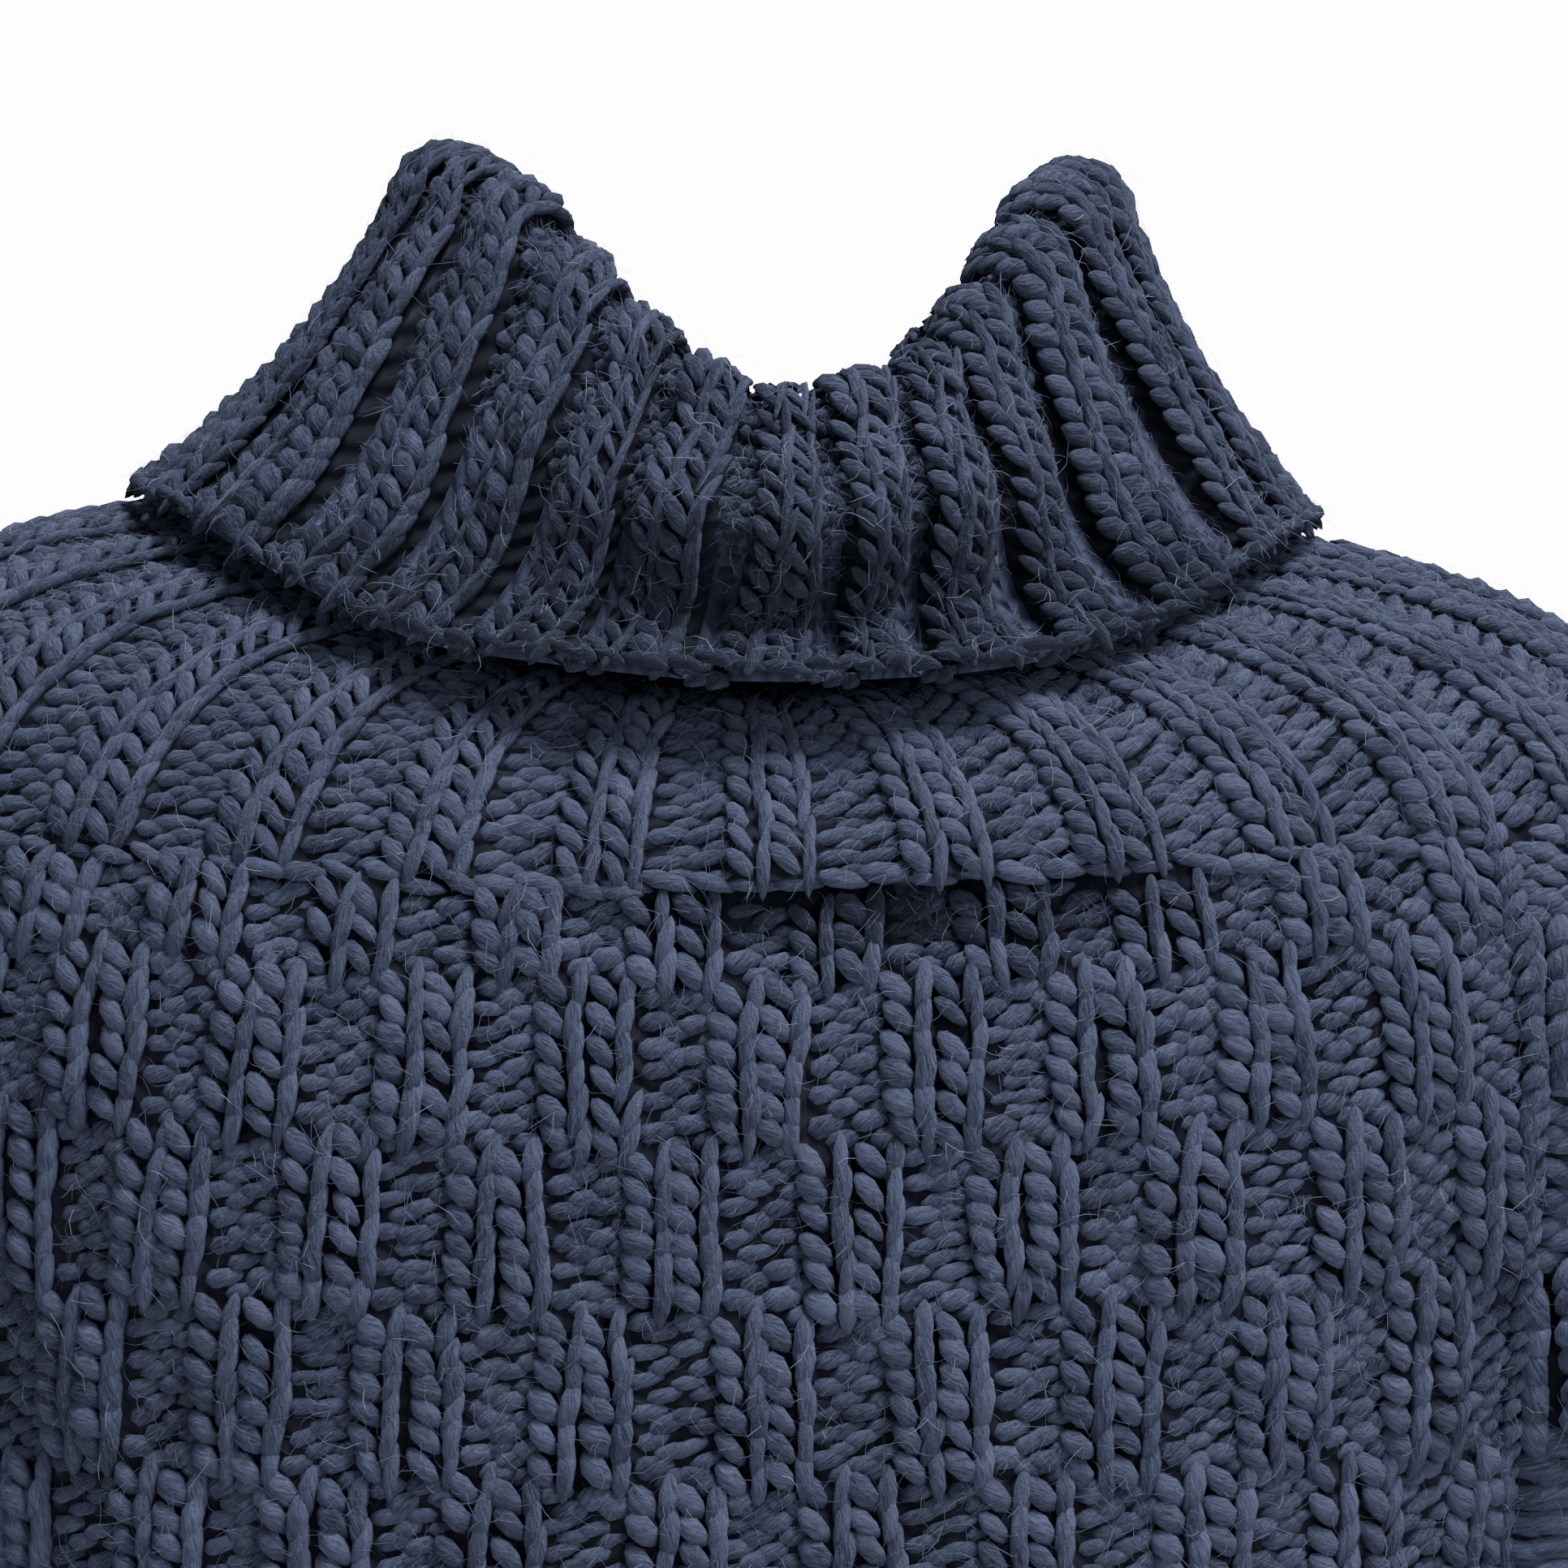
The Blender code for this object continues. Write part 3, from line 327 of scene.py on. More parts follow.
def hair_wool():
    """Single fibres that stand off the yarn, paler than the cloth, as they catch the light."""
    material, tree, shader = wool_material("loose_fibres")
    shade = add_node(tree, "ShaderNodeAttribute", attribute_name="shade").outputs["Fac"]
    tone = add_node(tree, "ShaderNodeMix", {0: shade, 6: (0.06, 0.07, 0.13, 1), 7: (0.30, 0.34, 0.47, 1)},
                    data_type="RGBA")
    tree.links.new(tone.outputs[2], shader["Base Color"])
    return material


NAVY_YARN, NAVY_GROUND, LOOSE_FIBRES = yarn_wool(), ground_wool(), hair_wool()


def strand(name, rings, sides, bend, fullness, first_side):
    """One visible stretch of yarn, a unit long, wide and thick: fat in the middle, its ends
    turned down into the cloth."""
    x = np.linspace(-0.5, 0.5, rings + 2)
    x = np.sign(x) * 0.5 * np.sin(np.abs(x) * math.pi) ** 0.9
    radius = 0.5 * fullness * (1 - np.abs(2 * x) ** 2.6) ** 0.72 * (1 - 0.35 * x)
    points = [(-0.5, 0, -bend)]
    for i in range(1, rings + 1):
        for k in range(sides):
            a = TURN * (k + first_side) / sides
            points.append((x[i], radius[i] * math.cos(a), radius[i] * math.sin(a) - bend * (2 * x[i]) ** 2))
    points.append((0.5, 0, -bend))
    last = len(points) - 1
    faces, uvs = [], []
    for k in range(sides):
        n, a0, a1 = (k + 1) % sides, k / sides, (k + 1) / sides
        faces.append((0, 1 + n, 1 + k))
        uvs += [(0, (a0 + a1) / 2), (x[1] + 0.5, a1), (x[1] + 0.5, a0)]
        for i in range(rings - 1):
            low, high = 1 + i * sides, 1 + (i + 1) * sides
            faces.append((low + k, low + n, high + n, high + k))
            u0, u1 = x[i + 1] + 0.5, x[i + 2] + 0.5
            uvs += [(u0, a0), (u0, a1), (u1, a1), (u1, a0)]
        end = 1 + (rings - 1) * sides
        faces.append((last, end + k, end + n))
        uvs += [(1, (a0 + a1) / 2), (x[rings] + 0.5, a0), (x[rings] + 0.5, a1)]
    mesh = bpy.data.meshes.new(name)
    mesh.from_pydata(points, [], faces)
    layer = mesh.uv_layers.new(name="UVMap")
    layer.data.foreach_set("uv", np.array(uvs, np.float32).ravel())
    mesh.shade_smooth()
    return bpy.data.objects.new(name, mesh)


STRAND = strand("strand", 4, 6, 0.30, 1.0, 0.5)
STRAND_SIMPLE = strand("strand_simple", 2, 3, 0.25, 1.42, 0.25)


def yarn_tree():
    """Lays a stretch of yarn at each point, turned and sized by the point's own values."""
    tree = bpy.data.node_groups.new("yarn_at_stitches", "GeometryNodeTree")
    for name, kind in (("Geometry", "Geometry"), ("Strand", "Object"), ("Thick and thin", "Float"),
                       ("Seed", "Int"), ("Wool", "Material")):
        tree.interface.new_socket(name, in_out="INPUT", socket_type="NodeSocket" + kind)
    tree.interface.new_socket("Geometry", in_out="OUTPUT", socket_type="NodeSocketGeometry")
    given = tree.nodes.new("NodeGroupInput").outputs
    out, along, size = (
        add_node(tree, "GeometryNodeInputNamedAttribute", {"Name": name}, data_type="FLOAT_VECTOR").outputs[0]
        for name in ("out", "along", "size"))
    turned = add_node(tree, "FunctionNodeAxesToRotation", {0: out, 1: along},
                      primary_axis="Z", secondary_axis="X")
    vary = add_node(tree, "FunctionNodeRandomValue", {
        2: math_of(tree, "SUBTRACT", 1.0, given["Thick and thin"]),
        3: math_of(tree, "ADD", 1.0, given["Thick and thin"]),
        "Seed": given["Seed"],
    }, data_type="FLOAT")
    scaled = add_node(tree, "ShaderNodeVectorMath", {0: size, "Scale": vary.outputs[1]}, operation="SCALE")
    piece = add_node(tree, "GeometryNodeObjectInfo", {"Object": given["Strand"]})
    laid = add_node(tree, "GeometryNodeInstanceOnPoints", {
        "Points": given["Geometry"], "Instance": piece.outputs["Geometry"],
        "Rotation": turned.outputs[0], "Scale": scaled.outputs[0]})
    solid = add_node(tree, "GeometryNodeRealizeInstances", {0: laid.outputs[0]})
    dressed = add_node(tree, "GeometryNodeSetMaterial", {
        "Geometry": solid.outputs[0], "Material": given["Wool"]})
    add_node(tree, "NodeGroupOutput", {0: dressed.outputs[0]})
    return tree


YARN_TREE = yarn_tree()
THICK_AND_THIN = 0.07       # how unevenly the wool is spun


def in_scene(name, data):
    obj = bpy.data.objects.new(name, data)
    bpy.context.scene.collection.objects.link(obj)
    return obj


def add_shade(mesh, values):
    mesh.attributes.new("shade", "FLOAT", "POINT").data.foreach_set("value", values.astype(np.float32))


def lay_yarn(name, points, pattern, seed):
    """A piece of yarn from its points: dict of place, out, along, size and shade."""
    mesh = bpy.data.meshes.new(name + "_points")
    mesh.from_pydata(points["place"].tolist(), [], [])
    for key in ("out", "along", "size"):
        mesh.attributes.new(key, "FLOAT_VECTOR", "POINT").data.foreach_set(
            "vector", points[key].astype(np.float32).ravel())
    add_shade(mesh, points["shade"])
    obj = in_scene(name, mesh)
    modifier = obj.modifiers.new("yarn", "NODES")
    modifier.node_group = YARN_TREE
    sockets = {s.name: s.identifier for s in YARN_TREE.interface.items_tree if s.in_out == "INPUT"}
    for key, value in (("Strand", pattern), ("Thick and thin", THICK_AND_THIN), ("Seed", seed),
                       ("Wool", NAVY_YARN)):
        modifier[sockets[key]] = value
    view = bpy.context.evaluated_depsgraph_get()
    final = bpy.data.meshes.new_from_object(obj.evaluated_get(view))
    obj.modifiers.clear()
    obj.data = final
    for key in ("out", "along", "size"):
        if key in final.attributes:
            final.attributes.remove(final.attributes[key])
    if not final.materials:
        final.materials.append(NAVY_YARN)
    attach(obj, "root")
    return obj


def stitch_frame(surface, a, b, width, height, low, high, side=1):
    """Where stitches lie, with the ways across and down the knit and their real sizes."""
    place = surface(a, b)
    over = surface(a + width / 2, b) - surface(a - width / 2, b)
    below, above = np.minimum(b + height / 2, high), np.maximum(b - height / 2, low)
    down = (surface(a, below) - surface(a, above)) * (height / (below - above))[..., None]
    out = side * unit(np.cross(down, over))
    return place, over, down, out


STITCH_WIDE, ROW_TALL = 0.010, 0.0068        # in a wider or taller stitch the yarn fills out
FAT_LEG, SLIM_LEG = (0.0052, 0.0049), (0.0040, 0.0045)
PURL_THICK, PURL_UNDER = 0.0046, 0.0022
EDGE_DIP = 0.0008           # the outer leg of a knit pair lies a little deeper


def knit_strands(frame_of, knit, height, seed, outer, plump=1.0):
    """Two legs for each knit stitch, a fat one that slants and a slim upright one, and two
    bumps for each purl stitch. height is how far a stitch stands over the purl level, and
    outer which side of its pair a stitch is on, -1 or 1."""
    place, over, down, out = frame_of
    knit = knit > 0.5
    rng = np.random.default_rng(seed)
    wide = np.linalg.norm(over, axis=1)
    tall = np.linalg.norm(down, axis=1)
    over, down = unit(over), unit(down)
    found = {key: [] for key in ("place", "out", "along", "size", "shade")}
    spin = np.arange(len(place)) * 0.61 + rng.uniform(0, 6) + rng.normal(0, 0.5, len(place))
    uneven = 1 + 0.11 * np.sin(spin)
    uneven *= rng.normal(1, 0.06, len(place))
    base_shade = rng.uniform(0.12, 0.88, len(place))

    def add(which, side, up, angle, length, width, thick, lift, tone, pitch):
        n = which.sum()
        turn = np.radians(angle + rng.normal(0, 5.0, n))
        o, d, u = over[which], down[which], out[which]
        w, t = wide[which], tall[which]
        way = d * np.cos(turn)[:, None] + o * np.sin(turn)[:, None]
        middle = place[which] + o * (side * w + rng.normal(0, 0.0003, n))[:, None]
        middle += d * (up * t + rng.normal(0, 0.0004, n))[:, None]
        middle += u * (height[which] + lift + rng.normal(0, 0.00025, n))[:, None]
        tilt = math.radians(pitch)
        found["place"].append(middle)
        found["out"].append(unit(u * math.cos(tilt) + way * math.sin(tilt)))
        found["along"].append(way)
        grow = (uneven * plump)[which]
        found["size"].append(np.stack([length * np.ones(n), width * grow, thick * grow], -1))
        found["shade"].append(np.clip(base_shade[which] + rng.normal(tone, 0.12, n), 0, 1))

    w, t, side = wide[knit], tall[knit], outer[knit]
    fill = np.clip(w / STITCH_WIDE, 0.55, 1.9) * np.clip(t / ROW_TALL, 1, 1.35)
    deep = np.minimum(fill, 1.4)
    add(knit, -0.24, 0.0, 39, 1.68 * t, FAT_LEG[0] * fill, FAT_LEG[1] * deep,
        -0.0020 - EDGE_DIP * (side < 0), 0.05, 7)
    add(knit, 0.25, 0.1, -8, 2.30 * t, SLIM_LEG[0] * fill, SLIM_LEG[1] * deep,
        -0.0021 - EDGE_DIP * (side > 0), 0.0, 5)
    w, t = wide[~knit], tall[~knit]
    drawn = np.clip(w / (1.05 * STITCH_WIDE), 1, 1.3)
    thick = PURL_THICK * np.clip(t / ROW_TALL, 1, 1.3) * drawn**0.7
    add(~knit, -0.12, -0.27, 103, 1.36 * w, 0.72 * t * drawn, thick, -PURL_UNDER, -0.04, 0)
    add(~knit, 0.38, 0.22, 106, 1.32 * w, 0.70 * t * drawn, thick, -PURL_UNDER - 0.0002, -0.10, 0)
    return {key: np.concatenate(value) for key, value in found.items()}


def sideways_row(place, out, over, down, seed, low, sunk, width, turn, length, wobble):
    """One row of sideways stitches, as along a bound-off edge or where pieces are joined."""
    rng = np.random.default_rng(seed)
    n = len(place)
    out, way, fall = unit(out), unit(over), unit(down)
    middle = place + fall * rng.normal(low, wobble, n)[:, None]
    return {
        "place": middle - out * rng.normal(sunk, wobble * 0.8, n)[:, None],
        "out": out,
        "along": unit(way + fall * rng.normal(turn, 0.12, n)[:, None]),
        "size": np.stack([np.linalg.norm(over, axis=1) * length * rng.uniform(0.85, 1.15, n),
                          width * rng.uniform(0.8, 1.2, n), width * rng.uniform(0.9, 1.25, n)], -1),
        "shade": rng.uniform(0.25, 0.85, n),
    }


def together(*sets):
    """Several sets of points as one."""
    return {key: np.concatenate([one[key] for one in sets]) for key in sets[0]}


def part_of(points, which):
    """The points of a set that are marked in which."""
    return {key: value[which] for key, value in points.items()}


VIEW_X, VIEW_Z, VIEW_HALF = 0.0146, -0.0603, 0.196


def in_close_view(place):
    """The stretch of knit that shows close up from the front, made with rounder strands."""
    half = VIEW_HALF * (1 + (place[:, 1] + 0.12) / 1.5)
    return (np.abs(place[:, 0] - VIEW_X) < half) & (place[:, 2] > VIEW_Z - half)


HAIR_LENGTH, HAIR_WIDTH = 0.0066, 0.00012
LONGEST_HAIR = 1.8          # in usual lengths
HAIRS_CLOSE, HAIRS_ELSEWHERE = 3.0, 0.12    # for each strand of yarn


def lay_fuzz(name, points, count, seed):
    """Loose fibres rooted on the yarn: flat tapering ribbons in one mesh, each bent."""
    rng = np.random.default_rng(seed)
    pick = rng.integers(0, len(points["place"]), count)
    out, along = points["out"][pick], points["along"][pick]
    across = np.cross(out, along)
    a = rng.uniform(0, TURN, count)[:, None]
    way = along * np.cos(a) + across * np.sin(a)
    bend = np.cross(out, way) * rng.normal(0, 0.55, count)[:, None]
    length = (HAIR_LENGTH * np.minimum(rng.lognormal(0, 0.45, count), LONGEST_HAIR))[:, None]
    lift = 0.05 + 0.4 * rng.random(count)[:, None] ** 2.5
    root = points["place"][pick] + out * points["size"][pick, 2:] * 0.40
    root = root + across * points["size"][pick, 1:2] * rng.uniform(-0.25, 0.25, count)[:, None]
    drop = rng.uniform(-0.1, 1.2, count)[:, None]
    low = root + length * (way * 0.33 + out * lift * 0.55 + bend * 0.05)
    high = root + length * (way * 0.62 + out * lift * (0.4 + 0.4 * drop) + bend * 0.38)
    tip = root + length * (way * 0.78 + out * lift * drop + bend)
    flat = unit(np.cross(way, out + rng.normal(0, 0.7, (count, 3)))) * HAIR_WIDTH / 2
    rows = [root - flat, root + flat, low - flat, low + flat, high - flat * 0.8, high + flat * 0.8, tip]
    corners = np.stack(rows, 1).reshape(-1, 3)
    first = np.arange(count)[:, None] * 7
    faces = np.concatenate([first + k for k in ([0, 1, 3], [0, 3, 2], [2, 3, 5], [2, 5, 4], [4, 5, 6])])
    mesh = bpy.data.meshes.new(name)
    mesh.from_pydata(corners.tolist(), [], faces.tolist())
    tone = np.clip(rng.beta(1.2, 5.5, count) + (rng.random(count) < 0.012) * 0.6, 0, 1)
    add_shade(mesh, np.repeat(tone, 7))
    mesh.materials.append(LOOSE_FIBRES)
    obj = in_scene(name, mesh)
    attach(obj, "root")
    return obj


SIMPLE_LIFT = 0.0007        # simple strands are flatter, so they lie a little higher


def lay_knit(name, points, seed, facing):
    """The yarn of one piece: round strands where it is seen close, simple ones elsewhere,
    and the loose fibres over both."""
    close = in_close_view(points["place"]) & facing
    points["place"] = points["place"] + points["out"] * np.where(close, 0, SIMPLE_LIFT)[:, None]
    kinds = ((close, STRAND, "_close", HAIRS_CLOSE, seed),
             (~close, STRAND_SIMPLE, "", HAIRS_ELSEWHERE, seed + 1))
    kinds = [(part_of(points, which), *others) for which, *others in kinds if which.any()]
    pieces = [lay_yarn(name + "_yarn" + ending, laid, pattern, own_seed)
              for laid, pattern, ending, _, own_seed in kinds]
    pieces += [lay_fuzz(name + "_fuzz" + ending, laid, int(len(laid["place"]) * hairs), own_seed + 2)
               for laid, _, ending, hairs, own_seed in kinds]
    return pieces


def ground(name, outer, inner, columns, rows, mask=None, wrap=False):
    """The cloth under the strands: a closed shell from two grids of points."""
    n_rows, n_cols = outer.shape[:2]
    faces_across = n_cols if wrap else n_cols - 1
    mask = np.ones((n_rows - 1, faces_across), bool) if mask is None else mask
    points = np.concatenate([outer.reshape(-1, 3), inner.reshape(-1, 3)])
    half = n_rows * n_cols
    faces, uvs = [], []

    def has(r, c):
        c = c % faces_across if wrap else c
        return 0 <= r < n_rows - 1 and 0 <= c < faces_across and mask[r, c]

    for r in range(n_rows - 1):
        for c in range(faces_across):
            if not mask[r, c]:
                continue
            corners = ((r, c), (r + 1, c), (r + 1, c + 1), (r, c + 1))
            index = [k[0] * n_cols + k[1] % n_cols for k in corners]
            spots = [(columns[k[1]], rows[k[0]]) for k in corners]
            faces.append(index)
            uvs += spots
            faces.append([i + half for i in index[::-1]])
            uvs += spots[::-1]
            for k, (dr, dc) in enumerate(((0, -1), (1, 0), (0, 1), (-1, 0))):
                if not has(r + dr, c + dc):
                    a, b = index[k], index[(k + 1) % 4]
                    faces.append([b, a, a + half, b + half])
                    uvs += [spots[(k + 1) % 4], spots[k], spots[k], spots[(k + 1) % 4]]
    used = np.unique(np.concatenate([np.array(f) for f in faces]))
    renumber = np.full(len(points), -1)
    renumber[used] = np.arange(len(used))
    mesh = bpy.data.meshes.new(name)
    mesh.from_pydata(points[used].tolist(), [], [[int(renumber[i]) for i in f] for f in faces])
    layer = mesh.uv_layers.new(name="UVMap")
    layer.data.foreach_set("uv", np.array(uvs, np.float32).ravel())
    inside = mesh.attributes.new("inside", "FLOAT", "POINT")
    inside.data.foreach_set("value", (used >= half).astype(np.float32))
    mesh.shade_smooth()
    mesh.set_sharp_from_angle(angle=math.radians(55))
    mesh.materials.append(NAVY_GROUND)
    obj = in_scene(name, mesh)
    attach(obj, "root")
    return obj


GROUND_UNDER = 0.0027       # the cloth lies this far under the tops of its strands


def ribbed_places(repeats, wide_rib, phase=RIB_PHASE):
    """Shares of the round for the stitches of a 2x2 rib, with the knit ones wider."""
    knit_at, purl_at = wide_rib / 4, (1 - wide_rib) / 4
    within = np.array([-knit_at, knit_at, 0.5 - purl_at, 0.5 + purl_at])
    return (np.repeat(np.arange(repeats), 4) + phase + np.tile(within, repeats)) / repeats


def rows_along(surface, u, low, high, row=ROW):
    """For each column, places down it one row apart, counted up from its lower edge."""
    fine = np.linspace(low, high, 241)
    grid_u, grid_v = np.meshgrid(u, fine, indexing="ij")
    lengths = np.linalg.norm(np.diff(surface(grid_u, grid_v), axis=1), axis=2)
    run = np.concatenate([np.zeros((len(u), 1)), np.cumsum(lengths, axis=1)], axis=1)
    found_u, found_v, found_step, column = [], [], [], []
    for k in range(len(u)):
        at = np.arange(run[k, -1] - row / 2, row / 3, -row)
        found_v.append(np.interp(at, run[k], fine))
        found_u.append(np.full(len(at), u[k]))
        found_step.append(np.interp(at + row / 2, run[k], fine) - np.interp(at - row / 2, run[k], fine))
        column.append(np.full(len(at), k))
    return (np.concatenate(x) for x in (found_u, found_v, found_step, column))


def wander(u, v):
    """Ribs lean and crowd a little, each its own way, as they come down the flap."""
    turn = TURN * u
    lean = 0.10 * np.sin(3 * turn + 1.1 * v) + 0.07 * np.sin(7 * turn + 2.0 + 1.7 * v)
    lean += 0.05 * np.sin(13 * turn - 2.3 * v) + 0.03 * np.sin(29 * turn + 3.1 * v)
    return u + lean * smoothstep(v / 1.5) / RIBS_ROUND


def wandering_skin(u, v):
    """The collar's seen side along its leaning ribs."""
    return collar_skin(wander(u, v), v)


COLLAR_KNIT = 0.68          # the share of a repeat that its two knit stitches take
COLLAR_PAINTED_SHADE, LOW_FRONT_PAINTED_SHADOW = 0.50, 0.85    # painted shade on all its wool, and painted shadow low in front
RIB_ALONG = (0, 0.45, 1, 1.3, 2.3, 2.7, 3), (0.1, 0.4, 0.6, 0.9, 1.1, 1.0, 0.35)
collar_u = ribbed_places(RIBS_ROUND, COLLAR_KNIT)
u, v, step, column = rows_along(wandering_skin, collar_u, 0.04, 3.0)
knit = (column % 4 < 2).astype(float)
width = np.where(knit > 0, COLLAR_KNIT, 1 - COLLAR_KNIT) / 2 / RIBS_ROUND
rib = FLAP_RIB * np.interp(v, *RIB_ALONG)
groove = 0.0026 + 0.0024 * smoothstep((v - 2.1) / 0.4) * smoothstep((3.05 - v) / 0.3)
collar_frame = stitch_frame(wandering_skin, u, v, width, np.maximum(step, 1e-4), 0, 3)
collar_points = knit_strands(collar_frame, knit, knit * rib - (1 - knit) * groove, 11,
                             np.where(column % 4 == 0, -1, 1))
edge_u = ribbed_places(RIBS_ROUND, 0.55)
place, over, down, out = stitch_frame(wandering_skin, edge_u, np.full(edge_u.shape, 2.99),
                                      0.25 / RIBS_ROUND, 0.01, 0, 3)
bound_off = sideways_row(place, out, over, down, 12, low=0.0006, sunk=0.0002, width=0.0035,
                         turn=0.22, length=1.4, wobble=0.0006)
collar_points = together(collar_points, bound_off)
place = collar_points["place"]
# Painted shade: the collar's wool is darkened all over, and painted shadow darkens it more low in front,
# under the roll.
low_front_shadow = smoothstep((0.016 - place[:, 2]) / 0.03) * smoothstep((-place[:, 1] - 0.03) / 0.04)
collar_points["shade"] = collar_points["shade"] - COLLAR_PAINTED_SHADE - LOW_FRONT_PAINTED_SHADOW * low_front_shadow

grid_v = np.array([0, 0.15, 0.3, 0.45, 0.6, 0.8, 1.0, 1.15, 1.3, 1.5, 1.7, 1.85, 2.0, 2.1, 2.2, 2.3,
                   2.4, 2.5, 2.6, 2.7, 2.8, 2.9, 2.97, 3.0])
gu, gv = np.meshgrid(ribbed_places(RIBS_ROUND, 0.58), grid_v)
gu = wander(gu, gv)
n = outward(collar_line, gu, gv, 1e-3, 1e-3, 0, 3)
middle = collar_line(gu, gv)
rib = FLAP_RIB * np.tile([1.0, 1, 0, 0], RIBS_ROUND)[None, :] * np.interp(grid_v, *RIB_ALONG)[:, None]
rib = rib - 0.0030 * np.tile([0.0, 0, 1, 1], RIBS_ROUND)[None, :]
outer = middle + n * (WALL / 2 + rib - GROUND_UNDER)[..., None]
inner = middle - n * WALL / 2
collar_ground = ground("collar_cloth", outer, inner, np.arange(4 * RIBS_ROUND + 1.0), grid_v * 12, wrap=True)
facing = (collar_points["out"][:, 1] < 0.35) & ((place[:, 1] < 0.03) | (place[:, 2] > 0.03))
collar_yarn = lay_knit("collar", collar_points, 101, facing)
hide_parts("collar")

# --- yoke ---------------------------------------------------------------------------------
# The round yoke, knitted in one with the collar: the same thirty ribs spread out over the
# shoulders, the purl between them widening, down to a soft overhanging edge.

YOKE_STEP, STEP_MIDDLE, STEP_REACH = 0.0046, 0.042, 0.094
YOKE_KNIT = 0.52            # the share of a repeat that its two knit stitches take


def yoke_surface(u, v):
    """The yoke at a share u round it and v down from the neck, over the shoulder."""
    v = v[..., None]
    start, bend, end = ring("neck", u), ring("shoulder", u), ring("yoke_edge", u)
    return (1 - v) ** 2 * start + 2 * v * (1 - v) * bend + v * v * end


def overhang(x, y, v):
    """How far the yoke's lower edge stands over the front, round the middle."""
    reach = smoothstep(1 - np.abs(x - STEP_MIDDLE) / STEP_REACH) * (y < 0)
    return YOKE_STEP * reach * smoothstep((v - 0.72) / 0.25)


yoke_u = ribbed_places(RIBS_ROUND, YOKE_KNIT)
u, v, step, column = rows_along(yoke_surface, yoke_u, 0.0, 1.0)
knit = (column % 4 < 2).astype(float)
place = yoke_surface(u, v)
rib = knit * RELIEF * smoothstep(v / 0.3) + overhang(place[..., 0], place[..., 1], v)
width = np.where(knit > 0, YOKE_KNIT, 1 - YOKE_KNIT) / 2 / RIBS_ROUND
yoke_frame = stitch_frame(yoke_surface, u, v, width, np.maximum(step, 1e-4), 0, 1)
yoke_points = knit_strands(yoke_frame, knit, rib, 21, np.where(column % 4 == 0, -1, 1))
edge_u = ribbed_places(RIBS_ROUND, 0.5)
place, over, down, out = stitch_frame(yoke_surface, edge_u, np.full(edge_u.shape, 0.985),
                                      0.25 / RIBS_ROUND, 0.04, 0, 1)
stand = overhang(place[..., 0], place[..., 1], np.ones(edge_u.shape))
lower_edge = sideways_row(place + out * stand[:, None], out, over, down, 23, low=0.0012, sunk=0.0016,
                          width=0.0048, turn=0.15, length=1.35, wobble=0.0005)
yoke_points = together(yoke_points, part_of(lower_edge, stand > 0.2 * YOKE_STEP))
grid_v = np.linspace(0, 1, 13)
gu, gv = np.meshgrid(edge_u, grid_v)
base = yoke_surface(gu, gv)
n = outward(yoke_surface, gu, gv, 1e-3, 1e-3, 0, 1)
rib = RELIEF * np.tile([1.0, 1, 0, 0], RIBS_ROUND)[None, :] * smoothstep(gv / 0.3)
rib = rib + overhang(base[..., 0], base[..., 1], gv)
yoke_ground = ground("yoke_cloth", base + n * (rib - GROUND_UNDER)[..., None], base - n * WALL,
                     np.arange(4 * RIBS_ROUND + 1.0), grid_v * 16, wrap=True)
yoke_yarn = lay_knit("yoke", yoke_points, 201, yoke_points["place"][:, 1] < 0.02)
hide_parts("yoke")

# --- body ---------------------------------------------------------------------------------
# The front and the back, in a basketweave of two knit and two purl by six rows. They hang
# from the yoke and are joined at the sides, with soft folds below the arms and at the waist.

BODY_REPEATS, TIER, TOP_TIER = 26, 0.038, 0.023
TIERS_OVER_ARMPIT, TIERS_TO_HEM, TIERS_TO_CUFF = 4, 8, 10
HALF_FRONT, HALF_UNDERARM, SLEEVE_CAP = 10, 3, 10
ARMHOLE_X = 0.178
FOLD_EASE = 0.050
BODY_FOLDS = (
    # angle, z, width in degrees, height, depth
    (62, -0.330, 20, 0.080, -0.0060),
    (-58, -0.345, 22, 0.085, -0.0065),
    (30, -0.455, 26, 0.090, 0.0045),
    (-22, -0.500, 24, 0.080, 0.0040),
    (118, -0.350, 22, 0.090, -0.0060),
    (-124, -0.340, 20, 0.080, -0.0060),
    (160, -0.480, 30, 0.090, 0.0050),
    (-150, -0.500, 26, 0.080, 0.0045),
)
OVER_ARMPIT = TOP_TIER + TIERS_OVER_ARMPIT * TIER
CHEST_Z, HEM_TOP_Z = RINGS["chest"][4], RINGS["hem_top"][4]


def share_at_x(name, x_wanted, back=False):
    """The share round a ring at which it reaches x_wanted, on the front or the back."""
    x, _, share = OUTLINES[name]
    half = slice(360, 721) if back else slice(0, 361)
    xs, us = x[half], share[half]
    order = np.argsort(xs)
    return float(np.interp(x_wanted, xs[order], us[order]))


YOKE_FRONT_SHARE = share_at_x("yoke_edge", ARMHOLE_X)
YOKE_BACK_SHARE = share_at_x("yoke_edge", ARMHOLE_X, back=True)


